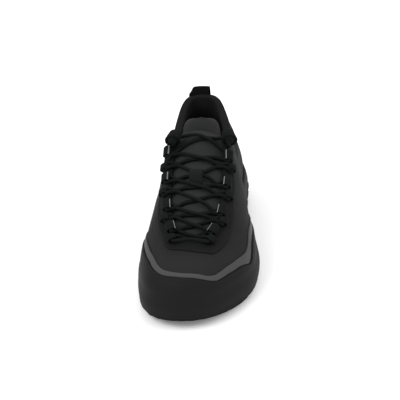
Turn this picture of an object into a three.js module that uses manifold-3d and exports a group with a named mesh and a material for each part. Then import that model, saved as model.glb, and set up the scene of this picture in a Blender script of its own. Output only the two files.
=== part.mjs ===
// A low hiking shoe for the left foot, standing empty on its sole.
// Millimetres, +Z up, toe toward -Y, heel toward +Y, outer side of the foot toward +X.
// The wall of the upper is one function of u, once round the shoe from the back of the heel
// over the outer side to the toe and back, and v, from the foot line up to the top line.
import * as THREE from 'three';
import { mergeVertices } from 'three/addons/utils/BufferGeometryUtils.js';
import Module from 'manifold-3d';

const wasm = await Module();
wasm.setup();

// Driving sizes of the last.
const lastLength = 290;
const ballWidth = 106;
const collarHeight = 99;

// Sole: stack heights under the foot line, lifts of the underside, rubber and lugs.
const heelStack = 29;
const foreStack = 18;
const toeLift = 10.3;
const footToeLift = 7;
const heelBevel = 3;
const archRise = 1.6;
const soleFlare = 4.3;
const lugHeight = 4;
const lugEdgeInset = 1.6;
const edgeLugWidth = 13;
const edgeLugGap = 4.5;
const centreLugLength = 11;
const centreLugPitch = 17;
const plateThickness = 2.4;
const plateInset = 1;
const rimHeight = 6;
const rimThickness = 2;
const sideStep = 1.1;
const heelRib = 0.9;

// Upper, footbed and tongue.
const wallThickness = 2.2;
const collarPad = 5;
const insoleThickness = 4;
const tongueThickness = 4.5;
const tongueEdgeThickness = 2.2;
const tongueRise = 10.5;
const tongueHalfWidth = 18.5;
const tongueDome = 3.5;
const tongueGap = 1;

// Overlays, webbing and laces.
const randThickness = 2;
const filmThickness = 0.7;
const eyestayThickness = 1.2;
const webbingThickness = 1.1;
const laceDiameter = 3.6;
const loopSpan = 8.4;
const edgeLoopWidth = 9.5;
const edgeLoopReach = 3;
const slotLoopWidth = 6;
const slotLoopInset = 5.5;
const earSpan = 14.5;
const earHeight = 16;
const earLeanOuter = 42;
const earLeanInner = 62;
const earWidth = 6.5;
const earInset = 0;
const earThickness = 4.4;
const pullWidth = 21;
const pullRise = 9;
const pullOffset = -3;
const keeperWidth = 12;
const keeperHeight = 7.6;

// Distance kept between two pieces that touch.
const clearance = 0.3;

// Fineness of the surfaces: columns round the shoe, rows up the wall.
const columnCount = 72;
const wallRowCount = 9;

// Stations once round the last, from the back of the heel along the outer side. Distances from the
// heel are shares of lastLength, x is a share of ballWidth and topZ of collarHeight. On the foot
// line the wall leans out by lean degrees, and rise says for how long.
const footLine = [
  { footDist: 0.024, footX: 0, lean: 8, rise: 0.42 },
  { footDist: 0.048, footX: 0.208, lean: 8, rise: 0.42 },
  { footDist: 0.124, footX: 0.342, lean: 15, rise: 0.4 },
  { footDist: 0.228, footX: 0.354, lean: 18, rise: 0.38 },
  { footDist: 0.345, footX: 0.358, lean: 13, rise: 0.38 },
  { footDist: 0.462, footX: 0.396, lean: 8, rise: 0.38 },
  { footDist: 0.572, footX: 0.443, lean: 6, rise: 0.38 },
  { footDist: 0.679, footX: 0.472, lean: 6, rise: 0.4 },
  { footDist: 0.786, footX: 0.428, lean: 6, rise: 0.42 },
  { footDist: 0.878, footX: 0.29, lean: 6, rise: 0.46 },
  { footDist: 0.95, footX: 0.095, lean: 6, rise: 0.5 },
  { footDist: 0.972, footX: -0.123, lean: 6, rise: 0.5 },
  { footDist: 0.931, footX: -0.34, lean: 6, rise: 0.46 },
  { footDist: 0.831, footX: -0.434, lean: 6, rise: 0.4 },
  { footDist: 0.717, footX: -0.453, lean: 5, rise: 0.37 },
  { footDist: 0.6, footX: -0.42, lean: 3, rise: 0.35 },
  { footDist: 0.483, footX: -0.354, lean: 5, rise: 0.36 },
  { footDist: 0.366, footX: -0.307, lean: 7, rise: 0.38 },
  { footDist: 0.241, footX: -0.307, lean: 8, rise: 0.38 },
  { footDist: 0.128, footX: -0.307, lean: 8, rise: 0.4 },
  { footDist: 0.048, footX: -0.198, lean: 8, rise: 0.42 },
];

// On the top line the wall stands at slope degrees over level, and ease says for how long.
const topLine = [
  { topDist: 0.031, topX: 0, topZ: 1, slope: 90, ease: 0.3 },
  { topDist: 0.052, topX: 0.148, topZ: 0.985, slope: 88, ease: 0.3 },
  { topDist: 0.12, topX: 0.225, topZ: 0.9, slope: 84, ease: 0.3 },
  { topDist: 0.207, topX: 0.274, topZ: 0.82, slope: 82, ease: 0.32 },
  { topDist: 0.296, topX: 0.292, topZ: 0.835, slope: 78, ease: 0.34 },
  { topDist: 0.38, topX: 0.24, topZ: 1.045, slope: 64, ease: 0.38 },
  { topDist: 0.49, topX: 0.232, topZ: 0.905, slope: 50, ease: 0.38 },
  { topDist: 0.597, topX: 0.217, topZ: 0.772, slope: 42, ease: 0.38 },
  { topDist: 0.697, topX: 0.179, topZ: 0.645, slope: 34, ease: 0.38 },
  { topDist: 0.762, topX: 0.104, topZ: 0.571, slope: 26, ease: 0.42 },
  { topDist: 0.786, topX: 0.009, topZ: 0.551, slope: 22, ease: 0.45 },
  { topDist: 0.786, topX: -0.085, topZ: 0.551, slope: 22, ease: 0.45 },
  { topDist: 0.762, topX: -0.16, topZ: 0.571, slope: 26, ease: 0.42 },
  { topDist: 0.697, topX: -0.208, topZ: 0.645, slope: 34, ease: 0.38 },
  { topDist: 0.597, topX: -0.231, topZ: 0.772, slope: 44, ease: 0.32 },
  { topDist: 0.49, topX: -0.23, topZ: 0.905, slope: 54, ease: 0.34 },
  { topDist: 0.38, topX: -0.225, topZ: 1.045, slope: 66, ease: 0.36 },
  { topDist: 0.3, topX: -0.274, topZ: 0.835, slope: 78, ease: 0.34 },
  { topDist: 0.212, topX: -0.255, topZ: 0.82, slope: 82, ease: 0.32 },
  { topDist: 0.122, topX: -0.221, topZ: 0.9, slope: 84, ease: 0.3 },
  { topDist: 0.052, topX: -0.152, topZ: 0.985, slope: 88, ease: 0.3 },
];
const stations = footLine.map((row, i) => ({ ...row, ...topLine[i] }));

const degree = Math.PI / 180;
const up = new THREE.Vector3(0, 0, 1);
const smooth = (from, to, value) => THREE.MathUtils.smoothstep(value, from, to);

// Closed cubic spline through a column of the table: the weights settle by relaxation.
function splineWeights(values) {
  const count = values.length;
  let weights = values.slice();
  for (let pass = 0; pass < 60; pass += 1) {
    weights = weights.map((_, i) =>
      (6 * values[i] - weights[(i + count - 1) % count] - weights[(i + 1) % count]) / 4);
  }
  return weights;
}

const stationWeights = Object.fromEntries(
  Object.keys(stations[0]).map((name) => [name, splineWeights(stations.map((row) => row[name]))]));

function stationValue(name, u) {
  const weights = stationWeights[name];
  const count = weights.length;
  const place = (((u % 1) + 1) % 1) * count;
  const i = Math.floor(place);
  const t = place - i;
  const at = (step) => weights[(i + step + count) % count];
  const s = 1 - t;
  return (s ** 3 * at(-1) + (3 * t ** 3 - 6 * t ** 2 + 4) * at(0)
    + (3 * s ** 3 - 6 * s ** 2 + 4) * at(1) + t ** 3 * at(2)) / 6;
}

const distOf = (y) => lastLength / 2 - y;
const yOf = (dist) => lastLength / 2 - dist;

// Shares of the length: where the toe starts to rise, where the heel is level and where it rounds.
const toeBreak = 0.745;
const heelFlat = 0.02;
const heelRound = 0.06;

// Height of the foot line, where upper and midsole meet.
function footHeight(y) {
  const share = distOf(y) / lastLength;
  const drop = heelStack - foreStack;
  return foreStack + drop * smooth(1 - toeBreak, 1 - heelFlat, 1 - share)
    + footToeLift * Math.max(0, (share - toeBreak) / (1 - toeBreak)) ** 2;
}

// Height of the underside over the floor: toe spring, arch and the rounded back of the heel.
function groundLift(y) {
  const share = distOf(y) / lastLength;
  const toe = toeLift * Math.max(0, (share - toeBreak) / (1 - toeBreak)) ** 2;
  const heel = heelBevel * Math.max(0, (heelRound - share) / heelRound) ** 2;
  const arch = archRise * smooth(0.28, 0.36, share) * smooth(0.44, 0.52, 1 - share);
  return toe + heel + arch;
}

function footPoint(u) {
  const y = yOf(stationValue('footDist', u) * lastLength);
  return new THREE.Vector3(stationValue('footX', u) * ballWidth, y, footHeight(y));
}

// Level direction away from the shoe at the foot line.
function outward(u) {
  const step = 0.001;
  const run = footPoint(u + step).sub(footPoint(u - step));
  return new THREE.Vector3(-run.y, run.x, 0).normalize();
}

function topPoint(u) {
  return new THREE.Vector3(stationValue('topX', u) * ballWidth,
    yOf(stationValue('topDist', u) * lastLength), stationValue('topZ', u) * collarHeight);
}

// How far the wall's top end is turned toward the middle of the shoe, in place of straight across.
const inwardPull = 15;

// Outer face of the upper: one cubic curve up the wall for each u.
function wallPoint(u, v) {
  const out = outward(u);
  const foot = footPoint(u);
  const top = topPoint(u);
  const chord = foot.distanceTo(top);
  const inward = top.clone().sub(foot).setZ(0).addScaledVector(out, -inwardPull).normalize();
  const lean = stationValue('lean', u) * degree;
  const slope = stationValue('slope', u) * degree;
  const rise = chord * stationValue('rise', u);
  const ease = chord * stationValue('ease', u);
  const low = foot.clone().addScaledVector(up, rise * Math.cos(lean))
    .addScaledVector(out, rise * Math.sin(lean));
  const high = top.clone().addScaledVector(inward, -ease * Math.cos(slope))
    .addScaledVector(up, -ease * Math.sin(slope));
  const w = 1 - v;
  return foot.multiplyScalar(w ** 3).addScaledVector(low, 3 * w * w * v)
    .addScaledVector(high, 3 * w * v * v).addScaledVector(top, v ** 3);
}

function wallNormal(u, v) {
  const step = 0.001;
  const low = Math.max(v - step, 0);
  const high = Math.min(v + step, 1);
  const round = wallPoint(u + step, v).sub(wallPoint(u - step, v));
  const rise = wallPoint(u, high).sub(wallPoint(u, low));
  return rise.cross(round).normalize();
}

// Outer face of the upper, moved out (or in, when negative) by an offset.
const skin = (u, v, offset = 0) => wallPoint(u, v).addScaledVector(wallNormal(u, v), offset);

// Share of the wall, from the foot line, at which its outer face reaches a height over that line.
function shareAtHeight(u, height) {
  let low = 0;
  let high = 1;
  for (let pass = 0; pass < 24; pass += 1) {
    const middle = (low + high) / 2;
    if (wallPoint(u, middle).z - footPoint(u).z < height) {
      low = middle;
    } else {
      high = middle;
    }
  }
  return low;
}

// How much of the collar's padding there is: full behind the ankle, none along the throat.
function padding(u, v) {
  const fromHeel = Math.min(u, 1 - u);
  return smooth(0.75, 0.81, 1 - fromHeel) * smooth(0.45, 0.85, v);
}

const wallThicknessAt = (u, v) => wallThickness + collarPad * padding(u, v);

// Mesh helpers.
// A grid is a list of columns, each a list of points; closed grids join the last column to the first.
function gridFaces(grid, closed) {
  const faces = [];
  const last = closed ? grid.length : grid.length - 1;
  for (let i = 0; i < last; i += 1) {
    const a = grid[i];
    const b = grid[(i + 1) % grid.length];
    for (let j = 0; j + 1 < a.length; j += 1) {
      faces.push([a[j], b[j], b[j + 1]], [a[j], b[j + 1], a[j + 1]]);
    }
  }
  return faces;
}

const flipped = (faces) => faces.map(([a, b, c]) => [a, c, b]);

// Closed body from loose triangles: shared points merged, slivers of no area dropped, faces out.
function closedGeometry(faces) {
  const position = new Float32Array(faces.flatMap((face) => face.flatMap((p) => [p.x, p.y, p.z])));
  let geometry = new THREE.BufferGeometry();
  geometry.setAttribute('position', new THREE.BufferAttribute(position, 3));
  geometry = mergeVertices(geometry, 1e-3);
  const index = Array.from(geometry.index.array);
  const kept = [];
  for (let i = 0; i < index.length; i += 3) {
    const [a, b, c] = index.slice(i, i + 3);
    if (a !== b && b !== c && c !== a) {
      kept.push(a, b, c);
    }
  }
  const points = geometry.getAttribute('position');
  const corner = (i) => new THREE.Vector3().fromBufferAttribute(points, i);
  let volume = 0;
  for (let i = 0; i < kept.length; i += 3) {
    volume += corner(kept[i]).dot(corner(kept[i + 1]).cross(corner(kept[i + 2])));
  }
  if (volume < 0) {
    for (let i = 0; i < kept.length; i += 3) {
      [kept[i + 1], kept[i + 2]] = [kept[i + 2], kept[i + 1]];
    }
  }
  geometry.setIndex(kept);
  return geometry;
}

// Solid between an outer and an inner grid of the same size.
function shellFaces(outer, inner, closed) {
  const top = outer.map((column, i) => [column[column.length - 1], inner[i][inner[i].length - 1]]);
  const bottom = outer.map((column, i) => [inner[i][0], column[0]]);
  const faces = [...gridFaces(outer, closed), ...flipped(gridFaces(inner, closed)),
    ...gridFaces(top, closed), ...gridFaces(bottom, closed)];
  if (!closed) {
    const last = outer.length - 1;
    faces.push(...gridFaces([inner[0], outer[0]], false), ...gridFaces([outer[last], inner[last]], false));
  }
  return faces;
}

// Face across a ring, from its outer side to its inner side, row by row along the shoe.
function acrossFaces(ring) {
  const half = ring.length / 2;
  const rows = Array.from({ length: half + 1 }, (_, i) => [ring[i], ring[(ring.length - i) % ring.length]]);
  return gridFaces(rows, false);
}

const columnShares = Array.from({ length: columnCount }, (_, i) => i / columnCount);
const rowShares = Array.from({ length: wallRowCount + 1 }, (_, j) => j / wallRowCount);

function toManifold(geometry) {
  const bare = mergeVertices(new THREE.BufferGeometry()
    .setAttribute('position', geometry.getAttribute('position').clone())
    .setIndex(geometry.index ? geometry.index.clone() : null));
  return new wasm.Manifold(new wasm.Mesh({
    numProp: 3,
    vertProperties: new Float32Array(bare.getAttribute('position').array),
    triVerts: new Uint32Array(bare.index.array),
  }));
}

function fromManifold(solid) {
  const mesh = solid.getMesh();
  const geometry = new THREE.BufferGeometry();
  geometry.setAttribute('position', new THREE.BufferAttribute(new Float32Array(mesh.vertProperties), 3));
  geometry.setIndex(Array.from(mesh.triVerts));
  return geometry;
}

// Shares of the way round the sole between which the edge lugs are joined into a toe bar.
const toeBarFrom = 0.42;
const toeBarTo = 0.6;

// Rubber sole. It is drawn flat, and its underside then follows the toe spring and the arch.
const outsoleTop = lugHeight + plateThickness;

function soleEdge(u, inset, z) {
  return footPoint(u).addScaledVector(outward(u), soleFlare - inset).setZ(z);
}

// Prism on a flat outline, drawn as an extruded shape.
function lugGeometry(outline) {
  const shape = new THREE.Shape(outline.map((p) => new THREE.Vector2(p.x, p.y)));
  const depth = lugHeight + plateThickness / 2;
  const geometry = new THREE.ExtrudeGeometry(shape, { depth, bevelEnabled: false });
  geometry.deleteAttribute('normal');
  geometry.deleteAttribute('uv');
  return mergeVertices(geometry);
}

// Lug along the edge of the sole, from one u to the next.
function edgeLug(fromU, toU) {
  const outer = [0, 0.5, 1].map((t) => soleEdge(fromU + (toU - fromU) * t, plateInset + lugEdgeInset, 0));
  const inner = [1, 0.5, 0].map((t) =>
    soleEdge(fromU + (toU - fromU) * t, plateInset + lugEdgeInset + edgeLugWidth, 0));
  return lugGeometry([...outer, ...inner]);
}

// Arrow lug on the middle of the sole, pointing to the toe.
function centreLug(dist, x, halfWidth) {
  const y = yOf(dist);
  const tip = centreLugLength * 0.45;
  return lugGeometry([
    new THREE.Vector2(x - halfWidth, y + centreLugLength / 2),
    new THREE.Vector2(x, y + centreLugLength / 2 - tip),
    new THREE.Vector2(x + halfWidth, y + centreLugLength / 2),
    new THREE.Vector2(x + halfWidth, y - centreLugLength / 2 + tip),
    new THREE.Vector2(x, y - centreLugLength / 2),
    new THREE.Vector2(x - halfWidth, y - centreLugLength / 2 + tip),
  ]);
}

// Points of the sole's edge on both sides at a distance from the heel.
function widthAt(dist) {
  const ring = columnShares.map((u) => soleEdge(u, 0, 0));
  const half = columnCount / 2;
  const reach = (points) => {
    const place = points.findIndex((p) => distOf(p.y) > dist);
    const a = points[Math.max(place - 1, 0)];
    const b = points[place];
    return THREE.MathUtils.mapLinear(dist, distOf(a.y), distOf(b.y), a.x, b.x);
  };
  const outerSide = ring.slice(0, half);
  const innerSide = [ring[0], ...ring.slice(half).reverse()];
  return { outer: reach(outerSide), inner: reach(innerSide) };
}

function outsoleGeometry() {
  const low = columnShares.map((u) => soleEdge(u, plateInset, lugHeight));
  const high = columnShares.map((u) => soleEdge(u, plateInset, outsoleTop));
  const side = low.map((point, i) => [point, high[i]]);
  const plate = closedGeometry([
    ...gridFaces(side, true),
    ...acrossFaces(high),
    ...flipped(acrossFaces(low)),
  ]);
  let solid = toManifold(plate);

  // Edge lugs: as many as fit round the sole at their pitch, joined into one bar across the toe.
  const ring = columnShares.map((u) => soleEdge(u, 0, 0));
  const round = ring.reduce((sum, point, i) => sum + point.distanceTo(ring[(i + 1) % ring.length]), 0);
  const lugCount = Math.round(round / (edgeLugWidth * 2));
  const gapShare = edgeLugGap / round;
  const lugEnd = (place, side) =>
    (place > toeBarFrom && place < toeBarTo ? place : place + side * gapShare / 2);
  for (let i = 0; i < lugCount; i += 1) {
    solid = solid.add(toManifold(edgeLug(lugEnd(i / lugCount, 1), lugEnd((i + 1) / lugCount, -1))));
  }

  // Arrow lugs: under the forefoot and the heel, two abreast where the sole is wide enough.
  for (let dist = lastLength * 0.1; dist < lastLength * 0.88; dist += centreLugPitch) {
    const { outer, inner } = widthAt(dist);
    const room = outer - inner - 2 * (edgeLugWidth + plateInset + lugEdgeInset + edgeLugGap);
    const middle = (outer + inner) / 2;
    const abreast = room > 3.2 * centreLugLength ? 2 : 1;
    const halfWidth = Math.min(room / abreast - (abreast - 1) * edgeLugGap / 2, 2.4 * centreLugLength) / 2;
    for (let k = 0; k < abreast; k += 1) {
      const shift = abreast === 1 ? 0 : (k - 0.5) * (2 * halfWidth + edgeLugGap);
      solid = solid.add(toManifold(centreLug(dist, middle + shift, halfWidth)));
    }
  }

  const geometry = fromManifold(solid);
  const points = geometry.getAttribute('position');
  for (let i = 0; i < points.count; i += 1) {
    points.setZ(i, points.getZ(i) + groundLift(points.getY(i)));
  }
  return geometry;
}

// Midsole side: a curve from the top of the rubber up to the rim that cups the upper.
const toeZone = (u) => smooth(0.3, 0.36, u) * smooth(0.3, 0.36, 1 - u);
const randZone = (u) => smooth(0.21, 0.25, u) * smooth(0.21, 0.25, 1 - u);
const randRoom = randThickness + clearance;

function rimShare(u) {
  return shareAtHeight(u, rimHeight * (1 - 0.4 * toeZone(u)));
}

function soleSide(u, w) {
  const out = outward(u);
  const recess = randRoom * toeZone(u);
  const edge = soleEdge(u, recess, 0);
  const base = outsoleTop + clearance + groundLift(edge.y);
  const low = soleEdge(u, recess, base);
  const rimWidth = clearance + rimThickness * (1 - 0.6 * randZone(u));
  const high = skin(u, rimShare(u), rimWidth);
  const height = high.z - low.z;
  const bulge = 0.12 * height * (1 - 0.5 * toeZone(u));
  const a = low.clone().addScaledVector(up, 0.35 * height).addScaledVector(out, bulge);
  const b = high.clone().addScaledVector(up, -0.35 * height).addScaledVector(out, bulge);
  const s = 1 - w;
  return low.multiplyScalar(s ** 3).addScaledVector(a, 3 * s * s * w)
    .addScaledVector(b, 3 * s * w * w).addScaledVector(high, w ** 3);
}

// Rows up the side, each with its share of the side and how far it is stepped in.
const sideRows = [
  { w: 0, step: 0 },
  { w: 0.36, step: 0 },
  { w: 0.42, step: 1 },
  { w: 0.56, step: 1 },
  { w: 0.62, step: 0 },
  { w: 1, step: 0 },
];

// Ribs stand on every second column behind the arch.
function ribHeight(column, w) {
  const u = columnShares[column];
  const fromHeel = Math.min(u, 1 - u);
  const ribbed = fromHeel > 0.02 && fromHeel < 0.2 && column % 2 === 0;
  return ribbed && w > 0 && w < 0.4 ? heelRib : 0;
}

function midsoleGeometry() {
  const side = columnShares.map((u, column) => sideRows.map(({ w, step }) =>
    soleSide(u, w).addScaledVector(outward(u),
      ribHeight(column, w) - step * sideStep * (1 - toeZone(u)))));
  const rimInner = columnShares.map((u) => skin(u, rimShare(u), clearance));
  const corner = columnShares.map((u) => {
    const point = footPoint(u).addScaledVector(outward(u), clearance);
    return point.setZ(footHeight(point.y) - clearance);
  });
  const wall = side.map((column, i) => [...column, rimInner[i], corner[i]]);
  const base = side.map((column) => column[0]);
  return closedGeometry([
    ...gridFaces(wall, true),
    ...acrossFaces(corner),
    ...flipped(acrossFaces(base)),
  ]);
}

// Hollow upper: outer face, rolled top edge and inner face, open underneath.
function upperGeometry() {
  const outer = columnShares.map((u) => rowShares.map((v) => skin(u, v)));
  const inner = columnShares.map((u) => rowShares.map((v) => skin(u, v, -wallThicknessAt(u, v))));
  const roll = columnShares.map((u) => {
    const thickness = wallThicknessAt(u, 1);
    return skin(u, 1, -thickness / 2).addScaledVector(up, thickness / 4);
  });
  const columns = outer.map((column, i) =>
    [inner[i][0], ...column, roll[i], ...inner[i].slice().reverse()]);
  return closedGeometry(gridFaces(columns, true));
}

function insoleGeometry() {
  const inset = wallThickness + 2 * clearance;
  const at = (u, lift) => {
    const point = footPoint(u).addScaledVector(outward(u), -inset);
    point.z = footHeight(point.y) + lift;
    return point;
  };
  const low = columnShares.map((u) => at(u, 0));
  const high = columnShares.map((u) => at(u, insoleThickness));
  return closedGeometry([
    ...gridFaces(low.map((point, i) => [point, high[i]]), true),
    ...acrossFaces(high),
    ...flipped(acrossFaces(low)),
  ]);
}

// Tongue. In the throat each row runs from under one throat edge over the instep to the other;
// above the throat it stands free and narrows to its rounded top.
const throatRows = [0.47, 0.45, 0.43, 0.40, 0.37, 0.34, 0.31, 0.285, 0.27, 0.255, 0.238];
// Free rows: back and rise are shares of tongueRise, width of tongueHalfWidth, and the edges
// lie edgeBack behind and edgeDrop below the middle, as shares of tongueDome.
const freeRows = [
  { back: 0.06, rise: 0.02, width: 1.05, edgeBack: 1.2, edgeDrop: 2.2 },
  { back: 0.20, rise: 0.24, width: 0.98, edgeBack: 2.0, edgeDrop: 1.4 },
  { back: 0.34, rise: 0.50, width: 0.89, edgeBack: 2.2, edgeDrop: 1.0 },
  { back: 0.46, rise: 0.75, width: 0.75, edgeBack: 2.0, edgeDrop: 0.9 },
  { back: 0.52, rise: 0.92, width: 0.58, edgeBack: 1.8, edgeDrop: 0.9 },
  { back: 0.54, rise: 1.00, width: 0.38, edgeBack: 1.4, edgeDrop: 0.7 },
];
const tuckShare = 0.78;
const edgeShare = 0.93;
const tongueSteps = 10;

function tongueRow(controls) {
  return new THREE.CatmullRomCurve3(controls).getPoints(tongueSteps);
}

// Middle of the tongue between the throat edges: it dives under the front one.
function tongueCrest(u) {
  const dome = THREE.MathUtils.lerp(-wallThickness - tongueGap, tongueDome, smooth(0.555, 0.65, 1 - u));
  return topPoint(u).lerp(topPoint(1 - u), 0.5).addScaledVector(up, dome);
}

function tongueTopGrid() {
  const under = (u, v) => skin(u, v, -wallThicknessAt(u, v) - tongueGap);
  const rows = throatRows.map((u, k) => {
    const centre = [under(0.5, tuckShare), under(0.5, edgeShare), tongueCrest(u)];
    return tongueRow([under(u, tuckShare), under(u, edgeShare), centre[Math.min(k, 2)],
      under(1 - u, edgeShare), under(1 - u, tuckShare)]);
  });
  const root = tongueCrest(throatRows[throatRows.length - 1]);
  freeRows.forEach(({ back, rise, width, edgeBack, edgeDrop }) => {
    const centre = new THREE.Vector3(root.x, root.y + back * tongueRise,
      root.z + rise * tongueRise);
    const reach = width * tongueHalfWidth;
    const beside = (side, across, drop) => new THREE.Vector3(centre.x + side * across * reach,
      centre.y + drop * edgeBack * tongueDome, centre.z - drop * edgeDrop * tongueDome);
    rows.push(tongueRow([beside(1, 1, 1), beside(1, 0.62, 0.3), centre,
      beside(-1, 0.62, 0.3), beside(-1, 1, 1)]));
  });
  return rows;
}

// Normals of a grid from its neighbours, facing away from the foot.
function gridNormals(grid) {
  return grid.map((row, i) => row.map((_, j) => {
    const along = grid[Math.min(i + 1, grid.length - 1)][j].clone().sub(grid[Math.max(i - 1, 0)][j]);
    const across = row[Math.min(j + 1, row.length - 1)].clone().sub(row[Math.max(j - 1, 0)]);
    return along.cross(across).normalize();
  }));
}

function tongueGeometry() {
  const top = tongueTopGrid();
  const normals = gridNormals(top);
  const lower = top.map((row, i) => row.map((point, j) => {
    const across = Math.abs(2 * j / tongueSteps - 1);
    const along = smooth(0, 4, i) * (1 - smooth(top.length - 3, top.length - 1, i));
    const fullness = (1 - across ** 4) * along;
    const thickness = tongueEdgeThickness + (tongueThickness - tongueEdgeThickness) * fullness;
    return point.clone().addScaledVector(normals[i][j], -thickness);
  }));
  return closedGeometry(shellFaces(top, lower, false));
}

// Edges of the overlays round the toe, as shares of the wall: rand is the top edge of the rubber
// and band the top edge of the film above it, which dips and rises in straight runs.
const toeEdges = [
  { u: 0.236, rand: 0.080, band: 0.100 },
  { u: 0.264, rand: 0.140, band: 0.210 },
  { u: 0.306, rand: 0.260, band: 0.360 },
  { u: 0.333, rand: 0.310, band: 0.425 },
  { u: 0.347, rand: 0.310, band: 0.420 },
  { u: 0.361, rand: 0.235, band: 0.370 },
  { u: 0.375, rand: 0.160, band: 0.350 },
  { u: 0.389, rand: 0.230, band: 0.375 },
  { u: 0.403, rand: 0.275, band: 0.405 },
  { u: 0.431, rand: 0.285, band: 0.415 },
  { u: 0.458, rand: 0.250, band: 0.360 },
  { u: 0.472, rand: 0.295, band: 0.380 },
  { u: 0.486, rand: 0.345, band: 0.435 },
  { u: 0.500, rand: 0.380, band: 0.465 },
  { u: 0.528, rand: 0.400, band: 0.480 },
  { u: 0.556, rand: 0.390, band: 0.485 },
  { u: 0.583, rand: 0.435, band: 0.545 },
  { u: 0.597, rand: 0.450, band: 0.552 },
  { u: 0.625, rand: 0.405, band: 0.500 },
  { u: 0.639, rand: 0.370, band: 0.460 },
  { u: 0.681, rand: 0.250, band: 0.330 },
  { u: 0.722, rand: 0.140, band: 0.190 },
  { u: 0.750, rand: 0.080, band: 0.100 },
];

// Outer edge of the eyestay, as a share of the wall; its front edge runs straight across.
const eyestayEdges = [
  { u: 0.208, edge: 0.780 },
  { u: 0.236, edge: 0.800 },
  { u: 0.278, edge: 0.835 },
  { u: 0.306, edge: 0.790 },
  { u: 0.333, edge: 0.790 },
  { u: 0.361, edge: 0.745 },
  { u: 0.389, edge: 0.720 },
  { u: 0.444, edge: 0.713 },
  { u: 0.458, edge: 0.777 },
  { u: 0.472, edge: 0.818 },
  { u: 0.500, edge: 0.868 },
  { u: 0.528, edge: 0.875 },
  { u: 0.542, edge: 0.865 },
  { u: 0.569, edge: 0.805 },
  { u: 0.611, edge: 0.785 },
  { u: 0.639, edge: 0.735 },
  { u: 0.667, edge: 0.720 },
  { u: 0.708, edge: 0.795 },
  { u: 0.750, edge: 0.850 },
  { u: 0.792, edge: 0.800 },
];

function edgeAt(table, name, u) {
  const place = THREE.MathUtils.clamp(table.findIndex((row) => row.u >= u), 1, table.length - 1);
  const low = table[place - 1];
  const high = table[place];
  return THREE.MathUtils.mapLinear(THREE.MathUtils.clamp(u, low.u, high.u), low.u, high.u,
    low[name], high[name]);
}

// Columns of an overlay: those of the upper, and those where the overlay's edge turns.
function overlayColumns(table) {
  const first = table[0].u;
  const last = table[table.length - 1].u;
  const near = (u) => table.some((row) => Math.abs(row.u - u) < 0.2 / columnCount);
  const between = columnShares.filter((u) => u > first && u < last && !near(u));
  return [...between, ...table.map((row) => row.u)].sort((a, b) => a - b);
}

// Grid on the upper's function between a low and a high edge.
function overlayGrid(columns, lowOf, highOf, offsetOf) {
  return columns.map((u) => rowShares.map((row) => {
    const v = THREE.MathUtils.clamp(row, lowOf(u), highOf(u));
    return skin(u, v, offsetOf(u, v));
  }));
}

// Share of the wall that a length along it takes.
const shareOfLength = (u, length) => length / footPoint(u).distanceTo(topPoint(u));

// Rubber rand: over the side of the midsole at the toe, over its rim further back.
const randSideRows = [0.02, 0.3, 0.62, 1];
const rimLap = 0.15;

function randGeometry() {
  const columns = overlayColumns(toeEdges);
  const first = columns[0];
  const last = columns[columns.length - 1];
  const ends = (u) => smooth(first - 0.01, first + 0.04, u) * smooth(1 - last - 0.01, 1 - last + 0.04, 1 - u);
  const low = (u) => rimShare(u) + shareOfLength(u, 1);
  const high = (u) => Math.max(edgeAt(toeEdges, 'rand', u), low(u) + shareOfLength(u, 1.5));
  const layer = (thickness) => {
    const thick = (u) => clearance + thickness * (0.4 + 0.6 * ends(u));
    const lip = (u, v) => (thickness > 0 ? 0.4 * rimThickness * (1 - smooth(0, 0.12, v - rimShare(u))) : 0);
    const wall = overlayGrid(columns, low, high, (u, v) => thick(u) + lip(u, v));
    return columns.map((u, i) => [
      ...randSideRows.map((w) => soleSide(u, 1 - (1 - w) * THREE.MathUtils.lerp(rimLap, 1, toeZone(u)))
        .addScaledVector(outward(u), thick(u))),
      ...wall[i],
    ]);
  };
  return closedGeometry(shellFaces(layer(randThickness), layer(0), false));
}

function toeBandGeometry() {
  const columns = overlayColumns(toeEdges);
  const low = (u) => Math.max(edgeAt(toeEdges, 'rand', u),
    rimShare(u) + shareOfLength(u, 2.5)) + shareOfLength(u, clearance);
  const high = (u) => Math.max(edgeAt(toeEdges, 'band', u), low(u) + shareOfLength(u, 1));
  const layer = (offset) => overlayGrid(columns, low, high, () => offset);
  return closedGeometry(shellFaces(layer(clearance + filmThickness), layer(clearance), false));
}

function eyestayGeometry() {
  const columns = overlayColumns(eyestayEdges);
  const low = (u) => edgeAt(eyestayEdges, 'edge', u);
  const layer = (offset) => overlayGrid(columns, low, () => 1, () => offset);
  return closedGeometry(shellFaces(layer(clearance + eyestayThickness), layer(clearance), false));
}

// Frame on the eyestay, a length from the throat edge: x across toward the throat, y out of the
// wall and z along the edge, to the heel on the outer side and to the toe on the inner side.
function throatFrame(u, fromEdge) {
  const v = 1 - shareOfLength(u, fromEdge);
  const step = 0.002;
  const out = wallNormal(u, v);
  const along = topPoint(u - step).sub(topPoint(u + step));
  const across = out.clone().cross(along).normalize();
  along.crossVectors(across, out);
  const origin = skin(u, v, clearance + eyestayThickness + clearance);
  return new THREE.Matrix4().makeBasis(across, out, along).setPosition(origin);
}

// Webbing folded into a flat ring: the lace runs through it, along the local z axis.
const ringSteps = 8;

function ringGeometry({ span, height, width, thickness }) {
  const oval = (a, b) => Array.from({ length: ringSteps }, (_, i) => {
    const turn = 2 * Math.PI * (i + 0.5) / ringSteps;
    return new THREE.Vector2(a / 2 * Math.cos(turn), height / 2 + b / 2 * Math.sin(turn));
  });
  const shape = new THREE.Shape(oval(span, height));
  shape.holes.push(new THREE.Path(oval(span - 2 * thickness, height - 2 * thickness)));
  const geometry = new THREE.ExtrudeGeometry(shape, { depth: width, bevelEnabled: false });
  geometry.translate(0, 0, -width / 2);
  geometry.deleteAttribute('normal');
  geometry.deleteAttribute('uv');
  return mergeVertices(geometry);
}

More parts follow.
